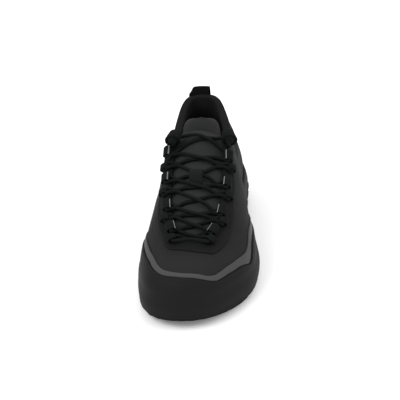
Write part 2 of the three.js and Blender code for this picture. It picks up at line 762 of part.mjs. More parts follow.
// Lace rows from the top: where the guide sits on the outer and on the inner side, and its kind.
const laceRows = [
  { kind: 'ear', outer: 0.262, inner: 0.738 },
  { kind: 'edge', outer: 0.279, inner: 0.728 },
  { kind: 'slot', outer: 0.2905, inner: 0.712 },
  { kind: 'edge', outer: 0.323, inner: 0.687 },
  { kind: 'slot', outer: 0.3395, inner: 0.668 },
  { kind: 'edge', outer: 0.37, inner: 0.64 },
  { kind: 'slot', outer: 0.3835, inner: 0.624 },
  { kind: 'edge', outer: 0.412, inner: 0.597 },
  { kind: 'slot', outer: 0.434, inner: 0.573 },
];
const ringHeight = laceDiameter + 2 * webbingThickness + clearance;
const edgeLoopInset = loopSpan / 2 - edgeLoopReach;
const ringSizes = { span: loopSpan, height: ringHeight, thickness: webbingThickness };
const guideSizes = {
  ear: { span: earSpan, height: earHeight, thickness: earThickness, width: earWidth, fromEdge: earInset },
  edge: { ...ringSizes, width: edgeLoopWidth, fromEdge: edgeLoopInset },
  slot: { ...ringSizes, width: slotLoopWidth, fromEdge: slotLoopInset },
};
const earLeans = { outer: earLeanOuter, inner: earLeanInner };

function guideFrame(row, side) {
  const { fromEdge } = guideSizes[row.kind];
  const lean = row.kind === 'ear' ? earLeans[side] : 0;
  const leaned = new THREE.Matrix4().makeRotationZ(-lean * degree);
  leaned.setPosition(0, Math.sin(lean * degree) * clearance, 0);
  return throatFrame(row[side], fromEdge).multiply(leaned);
}

function guideGeometry(row, side) {
  return ringGeometry(guideSizes[row.kind]).applyMatrix4(guideFrame(row, side));
}

// Lace crossings over the tongue, from one row of guides to the next. Each is two strands, one
// over the other, joined where they cross; they end short of the guides.
const strandEnd = { ear: 0.42, edge: 0.37, slot: 0.46 };
const crossingShare = { ear: -0.1, edge: 0.8, slot: 0.6 };
const strandSides = 6;
const strandSteps = 5;

// Where the lace leaves a guide, on its toe side (1) or its heel side (-1).
function guideMouth(row, side, end) {
  const { height, width } = guideSizes[row.kind];
  const toToe = side === 'outer' ? -end : end;
  return new THREE.Vector3(0, height / 2, toToe * width / 2).applyMatrix4(guideFrame(row, side));
}

function strandGeometry(from, to, middle) {
  const radius = laceDiameter / 2;
  const outline = Array.from({ length: strandSides }, (_, i) => {
    const turn = 2 * Math.PI * i / strandSides;
    return new THREE.Vector2(radius * Math.cos(turn), radius * Math.sin(turn));
  });
  const halfway = (point) => point.clone().lerp(middle, 0.5)
    .setZ(THREE.MathUtils.lerp(point.z, middle.z, 0.95));
  const path = new THREE.CatmullRomCurve3([from, halfway(from), middle, halfway(to), to]);
  const geometry = new THREE.ExtrudeGeometry(new THREE.Shape(outline),
    { steps: strandSteps, extrudePath: path });
  geometry.deleteAttribute('normal');
  geometry.deleteAttribute('uv');
  return mergeVertices(geometry);
}

function crossingGeometry(upper, lower) {
  const share = THREE.MathUtils.lerp(upper.outer, lower.outer, crossingShare[upper.kind]);
  const middle = tongueCrest(share).addScaledVector(up, laceDiameter / 2 + 1.3 * clearance);
  const over = middle.clone().addScaledVector(up, 0.7 * laceDiameter);
  const end = (row, side, direction, through) => {
    const mouth = guideMouth(row, side, direction);
    const height = THREE.MathUtils.lerp(mouth.z, through.z, 0.7);
    return mouth.lerp(through, strandEnd[row.kind]).setZ(height);
  };
  const strand = (fromSide, toSide, through) => strandGeometry(
    end(upper, fromSide, 1, through), end(lower, toSide, -1, through), through);
  const under = toManifold(strand('outer', 'inner', middle));
  return fromManifold(under.add(toManifold(strand('inner', 'outer', over))));
}

// Webbing strap on the tongue that holds the third crossing down.
function keeperGeometry() {
  const from = laceRows[2].outer + 0.009;
  const to = laceRows[3].outer + 0.008;
  const steps = 8;
  const layer = (thickness) => [-1, 1].map((side) => Array.from({ length: steps + 1 }, (_, i) => {
    const t = i / steps;
    const lift = 2 * clearance + keeperHeight * Math.sin(Math.PI * t) ** 0.7 + thickness;
    const point = tongueCrest(from + (to - from) * t).addScaledVector(up, lift);
    point.x += side * keeperWidth / 2;
    return point;
  }));
  return closedGeometry(shellFaces(layer(webbingThickness), layer(0), false));
}

// Webbing loop over the back of the collar, from the outer face over the edge to the lining.
function pullLoopGeometry() {
  const reach = 1 / columnCount;
  const perShare = topPoint(reach).distanceTo(topPoint(-reach)) / (2 * reach);
  const middle = pullOffset / perShare;
  const end = pullWidth / 2 / perShare;
  const inside = [-2, -1, 0, 1, 2].map((i) => i / columnCount)
    .filter((u) => Math.abs(u - middle) < end - reach / 4);
  const turns = [0, 0.2, 0.4, 0.6, 0.8, 1];
  const layer = (webbing) => [middle - end, ...inside, middle + end].map((u) => {
    const thickness = wallThicknessAt(u, 1);
    const radius = thickness / 2 + 2 * clearance + webbing;
    const arch = turns.map((turn) => skin(u, 1, -thickness / 2 + radius * Math.cos(Math.PI * turn))
      .addScaledVector(up, (pullRise + webbing) * Math.sin(Math.PI * turn)));
    return [0.78, 0.89].map((v) => skin(u, v, 2 * clearance + webbing)).concat(arch,
      [0.89].map((v) => skin(u, v, -wallThicknessAt(u, v) - clearance - webbing)));
  });
  return closedGeometry(shellFaces(layer(webbingThickness), layer(0), false));
}

// Finished pieces with their looks.
function piece(name, geometry, color, roughness) {
  const mesh = new THREE.Mesh(geometry, new THREE.MeshStandardMaterial({ color, roughness, metalness: 0 }));
  mesh.name = name;
  return mesh;
}

const shoe = new THREE.Group();
shoe.add(
  piece('outsole', outsoleGeometry(), 0x141414, 0.8),
  piece('midsole', midsoleGeometry(), 0x1d1d1e, 0.75),
  piece('upper', upperGeometry(), 0x2a2a2c, 0.95),
  piece('insole', insoleGeometry(), 0x1c1c1c, 0.95),
  piece('tongue', tongueGeometry(), 0x2e2e30, 0.95),
  piece('rand', randGeometry(), 0x1e1e1f, 0.6),
  piece('toe_band', toeBandGeometry(), 0x4a4a4c, 0.55),
  piece('eyestay', eyestayGeometry(), 0x1f1f20, 0.7),
  piece('pull_loop', pullLoopGeometry(), 0x101010, 0.9),
  piece('tongue_keeper', keeperGeometry(), 0x1c1f1e, 0.9),
);
laceRows.forEach((row, i) => {
  shoe.add(
    piece(`${row.kind}_loop_outer_${i}`, guideGeometry(row, 'outer'), 0x161817, 0.9),
    piece(`${row.kind}_loop_inner_${i}`, guideGeometry(row, 'inner'), 0x161817, 0.9),
  );
});
laceRows.slice(1).forEach((row, i) => {
  shoe.add(piece(`lace_crossing_${i + 1}`, crossingGeometry(laceRows[i], row), 0x121413, 0.9));
});

// The origin is under the middle of the bounding box, on the floor.
const box = new THREE.Box3().setFromObject(shoe, true);
shoe.position.set(-(box.min.x + box.max.x) / 2, -(box.min.y + box.max.y) / 2, -box.min.z);

export default shoe;
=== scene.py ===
import math

import bmesh
import bpy
import numpy as np
from mathutils import Matrix, Vector
from mathutils.bvhtree import BVHTree


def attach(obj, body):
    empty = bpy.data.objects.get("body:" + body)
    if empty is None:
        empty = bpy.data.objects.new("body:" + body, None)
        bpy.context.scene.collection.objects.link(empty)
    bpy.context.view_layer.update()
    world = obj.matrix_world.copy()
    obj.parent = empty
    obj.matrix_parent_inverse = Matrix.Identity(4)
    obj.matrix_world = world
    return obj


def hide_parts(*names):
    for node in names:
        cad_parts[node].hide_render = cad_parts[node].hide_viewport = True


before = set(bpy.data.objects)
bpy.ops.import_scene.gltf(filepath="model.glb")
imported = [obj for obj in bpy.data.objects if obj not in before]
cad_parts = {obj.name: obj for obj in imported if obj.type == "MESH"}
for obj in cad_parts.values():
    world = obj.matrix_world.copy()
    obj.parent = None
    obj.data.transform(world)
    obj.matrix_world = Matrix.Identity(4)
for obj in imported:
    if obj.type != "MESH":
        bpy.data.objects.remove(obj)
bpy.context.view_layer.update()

# A low hiking shoe for the left foot. Sizes are in millimetres in the shoe's own frame, as in the
# solids: toe toward -Y, outer side toward +X. Meshes are moved by ORIGIN and written in metres.
ORIGIN = np.array([-1.0334, -1.2643, 0.0])
MM = 0.001
TAU = 2 * math.pi

LAST_LENGTH = 290.0
BALL_WIDTH = 106.0
COLLAR_HEIGHT = 99.0
HEEL_STACK = 29.0
FORE_STACK = 18.0
TOE_LIFT = 10.3
FOOT_TOE_LIFT = 7.0
HEEL_BEVEL = 3.0
ARCH_RISE = 1.6
SOLE_FLARE = 4.3
LUG_HEIGHT = 4.0
PLATE = 2.4
RIM_HEIGHT = 6.0
RIM_THICKNESS = 2.0
SIDE_STEP = 1.1
HEEL_RIB = 0.9
WALL = 2.2
COLLAR_PAD = 5.0
INSOLE = 4.0
TONGUE = 4.5
TONGUE_EDGE = 2.2
TONGUE_RISE = 10.5
TONGUE_HALF_WIDTH = 18.5
TONGUE_DOME = 3.5
TONGUE_GAP = 1.0
RAND = 2.0
FILM = 0.7
EYESTAY = 1.2
WEBBING = 1.1
LACE = 3.6
CLEAR = 0.3
TOE_BREAK = 0.745
HEEL_FLAT = 0.02
HEEL_ROUND = 0.06
INWARD_PULL = 15.0

# Stations once round the last: distance from the heel and x on the foot line, lean and rise.
FOOT_LINE = np.array([
    (0.024, 0, 8, 0.42), (0.048, 0.208, 8, 0.42), (0.124, 0.342, 15, 0.4), (0.228, 0.354, 18, 0.38),
    (0.345, 0.358, 13, 0.38), (0.462, 0.396, 8, 0.38), (0.572, 0.443, 6, 0.38),
    (0.679, 0.472, 6, 0.4), (0.786, 0.428, 6, 0.42), (0.878, 0.29, 6, 0.46), (0.95, 0.095, 6, 0.5),
    (0.972, -0.123, 6, 0.5), (0.931, -0.34, 6, 0.46), (0.831, -0.434, 6, 0.4),
    (0.717, -0.453, 5, 0.37), (0.6, -0.42, 3, 0.35), (0.483, -0.354, 5, 0.36),
    (0.366, -0.307, 7, 0.38), (0.241, -0.307, 8, 0.38), (0.128, -0.307, 8, 0.4),
    (0.048, -0.198, 8, 0.42),
])
# The same on the top line: distance, x, height, slope and ease.
TOP_LINE = np.array([
    (0.031, 0, 1, 90, 0.3), (0.052, 0.148, 0.985, 88, 0.3), (0.12, 0.225, 0.9, 84, 0.3),
    (0.207, 0.274, 0.82, 82, 0.32), (0.296, 0.292, 0.835, 78, 0.34), (0.38, 0.24, 1.045, 64, 0.38),
    (0.49, 0.232, 0.905, 50, 0.38), (0.597, 0.217, 0.772, 42, 0.38),
    (0.697, 0.179, 0.645, 34, 0.38), (0.762, 0.104, 0.571, 26, 0.42),
    (0.786, 0.009, 0.551, 22, 0.45), (0.786, -0.085, 0.551, 22, 0.45),
    (0.762, -0.16, 0.571, 26, 0.42), (0.697, -0.208, 0.645, 34, 0.38),
    (0.597, -0.231, 0.772, 44, 0.32), (0.49, -0.23, 0.905, 54, 0.34),
    (0.38, -0.225, 1.045, 66, 0.36), (0.3, -0.274, 0.835, 78, 0.34),
    (0.212, -0.255, 0.82, 82, 0.32), (0.122, -0.221, 0.9, 84, 0.3), (0.052, -0.152, 0.985, 88, 0.3),
])


def smooth(low, high, x):
    t = np.clip((np.asarray(x, float) - low) / (high - low), 0, 1)
    return t * t * (3 - 2 * t)


def spline_weights(columns):
    weights = columns.copy()
    for _ in range(60):
        weights = (6 * columns - np.roll(weights, 1, 0) - np.roll(weights, -1, 0)) / 4
    return weights


FOOT_WEIGHTS = spline_weights(FOOT_LINE)
TOP_WEIGHTS = spline_weights(TOP_LINE)


def stations(weights, u):
    """Columns of a table at u, by a closed cubic spline."""
    count = len(weights)
    place = np.mod(np.asarray(u, float), 1) * count
    i = np.floor(place).astype(int)
    t = (place - i)[..., None]
    s = 1 - t
    at = [weights[(i + step) % count] for step in (-1, 0, 1, 2)]
    return (s ** 3 * at[0] + (3 * t ** 3 - 6 * t ** 2 + 4) * at[1]
            + (3 * s ** 3 - 6 * s ** 2 + 4) * at[2] + t ** 3 * at[3]) / 6


def unit(a):
    return a / np.maximum(np.linalg.norm(a, axis=-1, keepdims=True), 1e-9)


def lerp(a, b, t):
    return a + (b - a) * t


def vec(x, y, z):
    x, y, z = np.broadcast_arrays(x, y, z)
    return np.stack([x, y, z], -1).astype(float)


UP = np.array([0.0, 0.0, 1.0])


def foot_height(y):
    share = (LAST_LENGTH / 2 - y) / LAST_LENGTH
    rise = smooth(1 - TOE_BREAK, 1 - HEEL_FLAT, 1 - share)
    toe = np.maximum(0, (share - TOE_BREAK) / (1 - TOE_BREAK)) ** 2
    return FORE_STACK + (HEEL_STACK - FORE_STACK) * rise + FOOT_TOE_LIFT * toe


def ground_lift(y):
    share = (LAST_LENGTH / 2 - y) / LAST_LENGTH
    toe = TOE_LIFT * np.maximum(0, (share - TOE_BREAK) / (1 - TOE_BREAK)) ** 2
    heel = HEEL_BEVEL * np.maximum(0, (HEEL_ROUND - share) / HEEL_ROUND) ** 2
    return toe + heel + ARCH_RISE * smooth(0.28, 0.36, share) * smooth(0.44, 0.52, 1 - share)


def foot(u):
    s = stations(FOOT_WEIGHTS, u)
    y = LAST_LENGTH / 2 - s[..., 0] * LAST_LENGTH
    return vec(s[..., 1] * BALL_WIDTH, y, foot_height(y))


def outward(u):
    run = foot(np.asarray(u) + 0.001) - foot(np.asarray(u) - 0.001)
    return unit(vec(-run[..., 1], run[..., 0], 0 * run[..., 0]))


def top(u):
    s = stations(TOP_WEIGHTS, u)
    return vec(s[..., 1] * BALL_WIDTH, LAST_LENGTH / 2 - s[..., 0] * LAST_LENGTH,
               s[..., 2] * COLLAR_HEIGHT)


def wall(u, v):
    """Outer face of the upper: one cubic curve up the wall for each u."""
    u, v = np.broadcast_arrays(np.asarray(u, float), np.asarray(v, float))
    out, low_end, high_end = outward(u), foot(u), top(u)
    chord = np.linalg.norm(high_end - low_end, axis=-1)
    inward = high_end - low_end
    inward[..., 2] = 0
    inward = unit(inward - INWARD_PULL * out)
    f, t = stations(FOOT_WEIGHTS, u), stations(TOP_WEIGHTS, u)
    lean, slope = np.radians(f[..., 2]), np.radians(t[..., 3])
    rise, ease = (chord * f[..., 3])[..., None], (chord * t[..., 4])[..., None]
    low = low_end + rise * (np.cos(lean)[..., None] * UP + np.sin(lean)[..., None] * out)
    high = high_end - ease * (np.cos(slope)[..., None] * inward + np.sin(slope)[..., None] * UP)
    v, w = v[..., None], 1 - v[..., None]
    return low_end * w ** 3 + low * 3 * w * w * v + high * 3 * w * v * v + high_end * v ** 3


def normal(u, v):
    step = 0.001
    u, v = np.broadcast_arrays(np.asarray(u, float), np.asarray(v, float))
    around = wall(u + step, v) - wall(u - step, v)
    rise = wall(u, np.minimum(v + step, 1)) - wall(u, np.maximum(v - step, 0))
    return unit(np.cross(rise, around))


def skin(u, v, offset=0.0):
    return wall(u, v) + normal(u, v) * np.asarray(offset, float)[..., None]


def wall_length(u):
    return np.linalg.norm(top(u) - foot(u), axis=-1)


def share_at_height(u, height):
    """Share of the wall where its face reaches a height over the foot line."""
    u = np.asarray(u, float)
    low, high = np.zeros_like(u), np.ones_like(u)
    for _ in range(24):
        middle = (low + high) / 2
        below = wall(u, middle)[..., 2] - foot(u)[..., 2] < height
        low, high = np.where(below, middle, low), np.where(below, high, middle)
    return low


def padding(u, v):
    from_heel = np.minimum(np.mod(u, 1), 1 - np.mod(u, 1))
    return smooth(0.75, 0.81, 1 - from_heel) * smooth(0.45, 0.85, v)


def thickness(u, v):
    return WALL + COLLAR_PAD * padding(u, v)


def toe_zone(u):
    return smooth(0.3, 0.36, u) * smooth(0.3, 0.36, 1 - u)


def rand_zone(u):
    return smooth(0.21, 0.25, u) * smooth(0.21, 0.25, 1 - u)


# Mesh helpers. A loft joins sections, each a closed loop of points; it is closed on itself or
# capped at its ends. UVs are in metres along and across, so that a weave keeps its scale.

def arc(points, axis):
    step = np.linalg.norm(np.diff(points, axis=axis), axis=-1).mean(1 - axis)
    return np.concatenate([[0], np.cumsum(step)]) * MM


def loft(sections, closed=False):
    """Vertices, faces and face UVs of a loft, in millimetres."""
    n, m = sections.shape[:2]
    ring = np.concatenate([sections, sections[:1]]) if closed else sections
    along = arc(ring, 0)
    around = arc(np.concatenate([sections, sections[:, :1]], 1), 1)
    verts = sections.reshape(-1, 3)
    i, j = np.meshgrid(np.arange(n if closed else n - 1), np.arange(m), indexing="ij")
    i, j = i.ravel(), j.ravel()
    ii, jj = (i + 1) % n, (j + 1) % m
    quads = np.stack([i * m + j, ii * m + j, ii * m + jj, i * m + jj], -1)
    uv = np.stack([
        np.stack([along[i], around[j]], -1), np.stack([along[i + 1], around[j]], -1),
        np.stack([along[i + 1], around[j + 1]], -1), np.stack([along[i], around[j + 1]], -1)], 1)
    faces = quads.tolist()
    uvs = uv.tolist()
    if not closed:
        for row, order in ((0, 1), (n - 1, -1)):
            ids = list(range(row * m, row * m + m))[::order]
            faces.append(ids)
            uvs.append([(along[row], around[k % m]) for k in ids])
    return verts, faces, uvs


def join(parts):
    verts, faces, uvs, start = [], [], [], 0
    for v, f, t in parts:
        verts.append(v)
        faces += [[k + start for k in face] for face in f]
        uvs += t
        start += len(v)
    return np.concatenate(verts), faces, uvs


def piece(name, parts, material, replaced=(), sharp=None):
    """A mesh piece of the shoe from lofts, riding on the one body."""
    verts, faces, uvs = join(parts) if isinstance(parts, list) else parts
    mesh = bpy.data.meshes.new(name)
    mesh.from_pydata(((verts + ORIGIN) * MM).tolist(), [], faces)
    layer = mesh.uv_layers.new(name="length")
    layer.data.foreach_set("uv", np.array([c for face in uvs for c in face], np.float32).ravel())
    work = bmesh.new()
    work.from_mesh(mesh)
    bmesh.ops.recalc_face_normals(work, faces=work.faces)
    work.to_mesh(mesh)
    work.free()
    mesh.polygons.foreach_set("use_smooth", [True] * len(mesh.polygons))
    if sharp is not None:
        mesh.set_sharp_from_angle(angle=math.radians(sharp))
    mesh.materials.append(material)
    made = bpy.data.objects.new(name, mesh)
    bpy.context.scene.collection.objects.link(made)
    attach(made, "root")
    if replaced:
        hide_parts(*replaced)
    return made


def tube(path, radius, sides, flat=1.0):
    """Round cord along a path, with frames carried along it."""
    path = np.asarray(path, float)
    ahead = unit(np.gradient(path, axis=0))
    side = unit(np.cross(ahead[0], UP + 0.01))
    rings = []
    for point, run in zip(path, ahead):
        side = unit(side - run * (side @ run))
        other = np.cross(run, side)
        turn = np.arange(sides) * TAU / sides
        rings.append(point + radius * (np.cos(turn)[:, None] * side
                                       + flat * np.sin(turn)[:, None] * other))
    return loft(np.array(rings))


def curve(controls, steps):
    """Centripetal Catmull-Rom curve through points."""
    p = np.asarray(controls, float)
    p = np.concatenate([2 * p[:1] - p[1:2], p, 2 * p[-1:] - p[-2:-1]])
    out = []
    for k in range(1, len(p) - 2):
        a, b, c, d = p[k - 1], p[k], p[k + 1], p[k + 2]
        t1 = max(np.linalg.norm(b - a), 1e-6) ** 0.5
        t2 = t1 + max(np.linalg.norm(c - b), 1e-6) ** 0.5
        t3 = t2 + max(np.linalg.norm(d - c), 1e-6) ** 0.5
        for t in t1 + (t2 - t1) * np.arange(steps) / steps:
            ab = (t1 - t) / t1 * a + t / t1 * b
            bc = (t2 - t) / (t2 - t1) * b + (t - t1) / (t2 - t1) * c
            cd = (t3 - t) / (t3 - t2) * c + (t - t2) / (t3 - t2) * d
            abc = (t2 - t) / t2 * ab + t / t2 * bc
            bcd = (t3 - t) / (t3 - t1) * bc + (t - t1) / (t3 - t1) * cd
            out.append((t2 - t) / (t2 - t1) * abc + (t - t1) / (t2 - t1) * bcd)
    out.append(p[-2])
    return np.array(out)


def refine(grid, rows, columns):
    """A finer grid through a coarse one."""
    grid = np.stack([curve(grid[:, j], rows) for j in range(grid.shape[1])], 1)
    return np.stack([curve(row, columns) for row in grid])


def shrunk(ring, share):
    """A level ring drawn in toward its middle."""
    centre_y = ring[:, 1].mean()
    row = ring * [share, 1, 1]
    row[:, 1] = centre_y + (ring[:, 1] - centre_y) * share
    return row


# Materials.

def node_group(material):
    material.use_nodes = True
    tree = material.node_tree
    tree.nodes.clear()

    def add(kind, inputs=(), **settings):
        made = tree.nodes.new(kind)
        for name, value in settings.items():
            setattr(made, name, value)
        for name, value in dict(inputs).items():
            if isinstance(value, bpy.types.NodeSocket):
                tree.links.new(value, made.inputs[name])
            else:
                made.inputs[name].default_value = value
        return made
    return add


def math_node(add, operation, a, b=0.0, c=0.0):
    return add("ShaderNodeMath", {0: a, 1: b, 2: c}, operation=operation).outputs[0]


def mix_colour(add, share, a, b):
    made = add("ShaderNodeMix", {"Factor": share}, data_type="RGBA")
    for socket, value in ((made.inputs[6], a), (made.inputs[7], b)):
        if isinstance(value, bpy.types.NodeSocket):
            made.id_data.links.new(value, socket)
        else:
            socket.default_value = (*value, 1)
    return made.outputs[2]


def finish_material(name, colour, rough, pattern=None, pitch=(1.0, 1.0), depth=0.1, shade=0.25,
                    grain=0.02, grain_size=0.6, mottle=0.12, sheen=0.0, specular=0.3):
    """Procedural finish; pattern is weave, knit, braid, rib or None, and sizes are millimetres."""
    material = bpy.data.materials.new(name)
    add = node_group(material)
    place = add("ShaderNodeTexCoord")
    broad = add("ShaderNodeTexNoise", {"Vector": place.outputs["Object"], "Scale": 45.0,
                                       "Detail": 3.0, "Roughness": 0.55})
    fine = add("ShaderNodeTexNoise", {"Vector": place.outputs["Object"],
                                      "Scale": 1000.0 / grain_size, "Detail": 2.0})
    dark = tuple(c * (1 - mottle) for c in colour)
    light = tuple(min(1, c * (1 + mottle)) for c in colour)
    base = mix_colour(add, broad.outputs["Fac"], dark, light)
    height = math_node(add, "MULTIPLY", fine.outputs["Fac"], grain)
    roughness = math_node(add, "MULTIPLY_ADD", fine.outputs["Fac"], 0.16, rough - 0.08)
    if pattern:
        split = add("ShaderNodeSeparateXYZ", {0: place.outputs["UV"]})
        along = math_node(add, "MULTIPLY", split.outputs[0], TAU * 1000 / pitch[0])
        across = math_node(add, "MULTIPLY", split.outputs[1], TAU * 1000 / pitch[1])
        if pattern == "braid":
            along, across = (math_node(add, "ADD", along, across),
                             math_node(add, "SUBTRACT", along, across))
        first = math_node(add, "SINE", along)
        second = math_node(add, "SINE", across)
        if pattern == "knit":
            thread = math_node(add, "MULTIPLY", first, math_node(add, "ABSOLUTE", second))
        elif pattern == "rib":
            thread = second
        else:
            thread = math_node(add, "MULTIPLY", first, second)
        thread = math_node(add, "MULTIPLY_ADD", thread, 0.5, 0.5)
        height = math_node(add, "MULTIPLY_ADD", thread, depth, height)
        low = tuple(c * (1 - shade) for c in colour)
        base = mix_colour(add, math_node(add, "MULTIPLY", thread, 0.85), low, base)
    bump = add("ShaderNodeBump", {"Height": height, "Strength": 1.0, "Distance": MM})
    shader = add("ShaderNodeBsdfPrincipled", {
        "Base Color": base, "Roughness": roughness, "Normal": bump.outputs[0],
        "Specular IOR Level": specular, "Sheen Weight": sheen, "Sheen Roughness": 0.45})
    add("ShaderNodeOutputMaterial", {"Surface": shader.outputs[0]})
    material.diffuse_color = (*colour, 1)
    return material


TEXTILE = finish_material("upper_textile", (0.0188, 0.0188, 0.0191), 0.85, "weave", (0.9, 0.9),
                          0.10, 0.35, grain=0.05, sheen=0.03, specular=0.08)
LINING = finish_material("lining_mesh", (0.0130, 0.0130, 0.0133), 0.92, "knit", (1.6, 1.2), 0.22,
                         0.4, sheen=0.01, specular=0.05)
TONGUE_MESH = finish_material("tongue_textile", (0.0295, 0.030, 0.030), 0.88, "knit", (1.3, 1.0),
                              0.16, 0.3, sheen=0.03, specular=0.08)
INSOLE_CLOTH = finish_material("insole_textile", (0.008, 0.008, 0.008), 0.93, "weave", (0.7, 0.7),
                               0.08, 0.3, sheen=0.02, specular=0.05)
RUBBER = finish_material("outsole_rubber", (0.011, 0.011, 0.0113), 0.62, grain=0.05,
                         grain_size=0.5, specular=0.07)
FOAM = finish_material("midsole_foam", (0.012, 0.012, 0.0124), 0.68, grain=0.08, grain_size=0.8,
                       specular=0.12)
SMOOTH_RUBBER = finish_material("rand_rubber", (0.0094, 0.0094, 0.0096), 0.62, grain=0.012,
                                grain_size=0.7, mottle=0.06, specular=0.07)
BAND = finish_material("band_film", (0.052, 0.052, 0.053), 0.55, grain=0.012, grain_size=0.5,
                       mottle=0.05, specular=0.1)
STAY = finish_material("eyestay_film", (0.0080, 0.0080, 0.0082), 0.66, grain=0.03, grain_size=0.45,
                       mottle=0.08, specular=0.08)
WEB = finish_material("pull_webbing", (0.0045, 0.0045, 0.0045), 0.8, "rib", (1.0, 0.8), 0.14, 0.3,
                      specular=0.06)
GUIDE_WEB = finish_material("loop_webbing", (0.0066, 0.0076, 0.0072), 0.8, "rib", (1.0, 0.8), 0.14,
                            0.4, specular=0.07)
KEEPER = finish_material("keeper_webbing", (0.0098, 0.0114, 0.0111), 0.78, "weave", (1.1, 1.1),
                         0.14, 0.3, specular=0.07)
# Light grey of the strips on the loop folds: painted highlight.
FOLD_HIGHLIGHT = finish_material("fold_highlight", (0.15, 0.152, 0.152), 0.6, grain=0.02, grain_size=0.4,
                       mottle=0.05, specular=0.2)
LACE_CORD = finish_material("lace_cord", (0.0060, 0.0075, 0.0071), 0.75, "braid", (2.6, 1.885),
                            0.16, 0.45, specular=0.08)
THREAD = finish_material("stitch_thread", (0.012, 0.012, 0.0124), 0.7, grain=0.02, grain_size=0.2,
                         specular=0.1)

# Upper. Creases are soft troughs: u and v of both ends, width and depth.
CREASES = [
    (0.400, 0.66, 0.425, 0.60, 5.0, 0.7), (0.585, 0.60, 0.612, 0.68, 5.0, 0.7),
    (0.372, 0.62, 0.398, 0.50, 6.0, 0.6), (0.618, 0.50, 0.645, 0.60, 6.0, 0.6),
    (0.255, 0.45, 0.285, 0.62, 7.0, 0.5), (0.722, 0.62, 0.748, 0.44, 7.0, 0.5),
    (0.130, 0.52, 0.175, 0.60, 6.0, 0.6), (0.828, 0.60, 0.872, 0.52, 6.0, 0.6),
]


def trough(points, a, b, width, depth):
    a, b = np.asarray(a), np.asarray(b)
    t = np.clip(((points - a) @ (b - a)) / ((b - a) @ (b - a)), 0, 1)
    apart = np.linalg.norm(points - a - t[..., None] * (b - a), axis=-1)
    return -depth * np.exp(-(apart / width) ** 2)


# Forms round the collar: height, distance below the seam, and reach.
COLLAR_FORMS = ((1.3, 9, 7), (1.0, -6, 5), (-0.8, 0, 1.3))
THROAT_LAP, COLLAR_LAP = 0.5, 11.5


def collar(u):
    """1 round the padded collar, 0 along the throat."""
    return smooth(0.765, 0.80, 1 - np.minimum(np.mod(u, 1), 1 - np.mod(u, 1)))


def seam_share(u):
    """Share of the wall at which the textile ends and the lining starts."""
    return 1 - (THROAT_LAP + COLLAR_LAP * collar(u)) / wall_length(u)


def relief(u, v):
    """How far the textile stands off its smooth face: collar roll, seam and creases."""
    points = wall(u, v)
    below = (seam_share(u) - v) * wall_length(u)
    out = collar(u) * sum(height * np.exp(-((below - place) / reach) ** 2)
                          for height, place, reach in COLLAR_FORMS)
    for ua, va, ub, vb, width, depth in CREASES:
        out = out + trough(points, wall(ua, va), wall(ub, vb), width, depth)
    return out


def rim_arc(u, turns):
    """Rolled top edge of the upper, from its outer to its inner face."""
    half = thickness(u, np.ones_like(u)) / 2
    across = normal(u, np.ones_like(u)) * half[:, None]
    rise = unit(top(u) - skin(u, np.full_like(u, 0.98))) * np.minimum(half * 0.55, 1.9)[:, None]
    return (top(u) - across)[:, None] + np.cos(turns)[None, :, None] * across[:, None] \
        + np.sin(turns)[None, :, None] * rise[:, None]


def shell_rows(u, shares, offset):
    return skin(np.repeat(u[:, None], shares.shape[1], 1), shares, offset(u[:, None], shares))


u = np.arange(288) / 288
shares = seam_share(u)[:, None] * np.concatenate([np.linspace(0, 0.8, 26, endpoint=False),
                                                  np.linspace(0.8, 1, 22)])[None]
outer_face = shell_rows(u, shares, relief)
middle_face = shell_rows(u, shares[:, ::-1], lambda u, v: -0.5 * thickness(u, v))
piece("upper_shell", loft(np.concatenate([outer_face, middle_face], 1), closed=True), TEXTILE,
      ["upper"])

over = seam_share(u)[:, None] + (1 - seam_share(u))[:, None] * np.linspace(0, 1, 12)[None]
inner = np.linspace(1, 0, 40)[None] * np.ones((len(u), 1))
lining_face = np.concatenate([
    shell_rows(u, over[:, :-1], relief), rim_arc(u, np.linspace(0, math.pi, 12)),
    shell_rows(u, inner[:, 1:], lambda u, v: -thickness(u, v)),
    shell_rows(u, inner[:, ::-1] * seam_share(u)[:, None],
               lambda u, v: -0.52 * thickness(u, v))], 1)
lining = piece("collar_lining", loft(lining_face, closed=True), LINING)

# Footbed: highest near its rounded edge and lower toward the middle. Each ring is a share of the
# outline, and a height over the foot line.
FOOTBED_RINGS = ((1.0, 0.0), (1.0, 2.9), (0.995, 3.7), (0.975, INSOLE), (0.93, 3.9), (0.8, 3.3),
                 (0.6, 3.0), (0.35, 2.9), (0.1, 2.9))
u = np.arange(180) / 180
edge = foot(u) - outward(u) * (WALL + 2 * CLEAR)
rings = []
for share, lift in FOOTBED_RINGS:
    ring = shrunk(edge, share)
    ring[:, 2] = foot_height(ring[:, 1]) + lift
    rings.append(ring)
piece("footbed", loft(np.array(rings)[:, ::-1]), INSOLE_CLOTH, ["insole"])

# Sole side: from the top of the rubber up to the rim that cups the upper.
OUTSOLE_TOP = LUG_HEIGHT + PLATE
RAND_ROOM = RAND + CLEAR


def rim_share(u):
    return share_at_height(u, RIM_HEIGHT * (1 - 0.4 * toe_zone(u)))


def sole_side(u, w):
    """Side of the midsole at u, for a list of shares w from its foot to its rim."""
    out = outward(u)
    low = foot(u) + out * (SOLE_FLARE - RAND_ROOM * toe_zone(u))[..., None]
    low[..., 2] = OUTSOLE_TOP + CLEAR + ground_lift(low[..., 1])
    high = skin(u, rim_share(u), CLEAR + RIM_THICKNESS * (1 - 0.6 * rand_zone(u)))
    height = (high[..., 2] - low[..., 2])[..., None]
    bulge = 0.12 * height * (1 - 0.5 * toe_zone(u))[..., None]
    a = low + 0.35 * height * UP + bulge * out
    b = high - 0.35 * height * UP + bulge * out
    w = np.asarray(w, float)[None, :, None]
    s = 1 - w
    low, a, b, high = (p[:, None] for p in (low, a, b, high))
    return low * s ** 3 + a * 3 * s * s * w + b * 3 * s * w * w + high * w ** 3


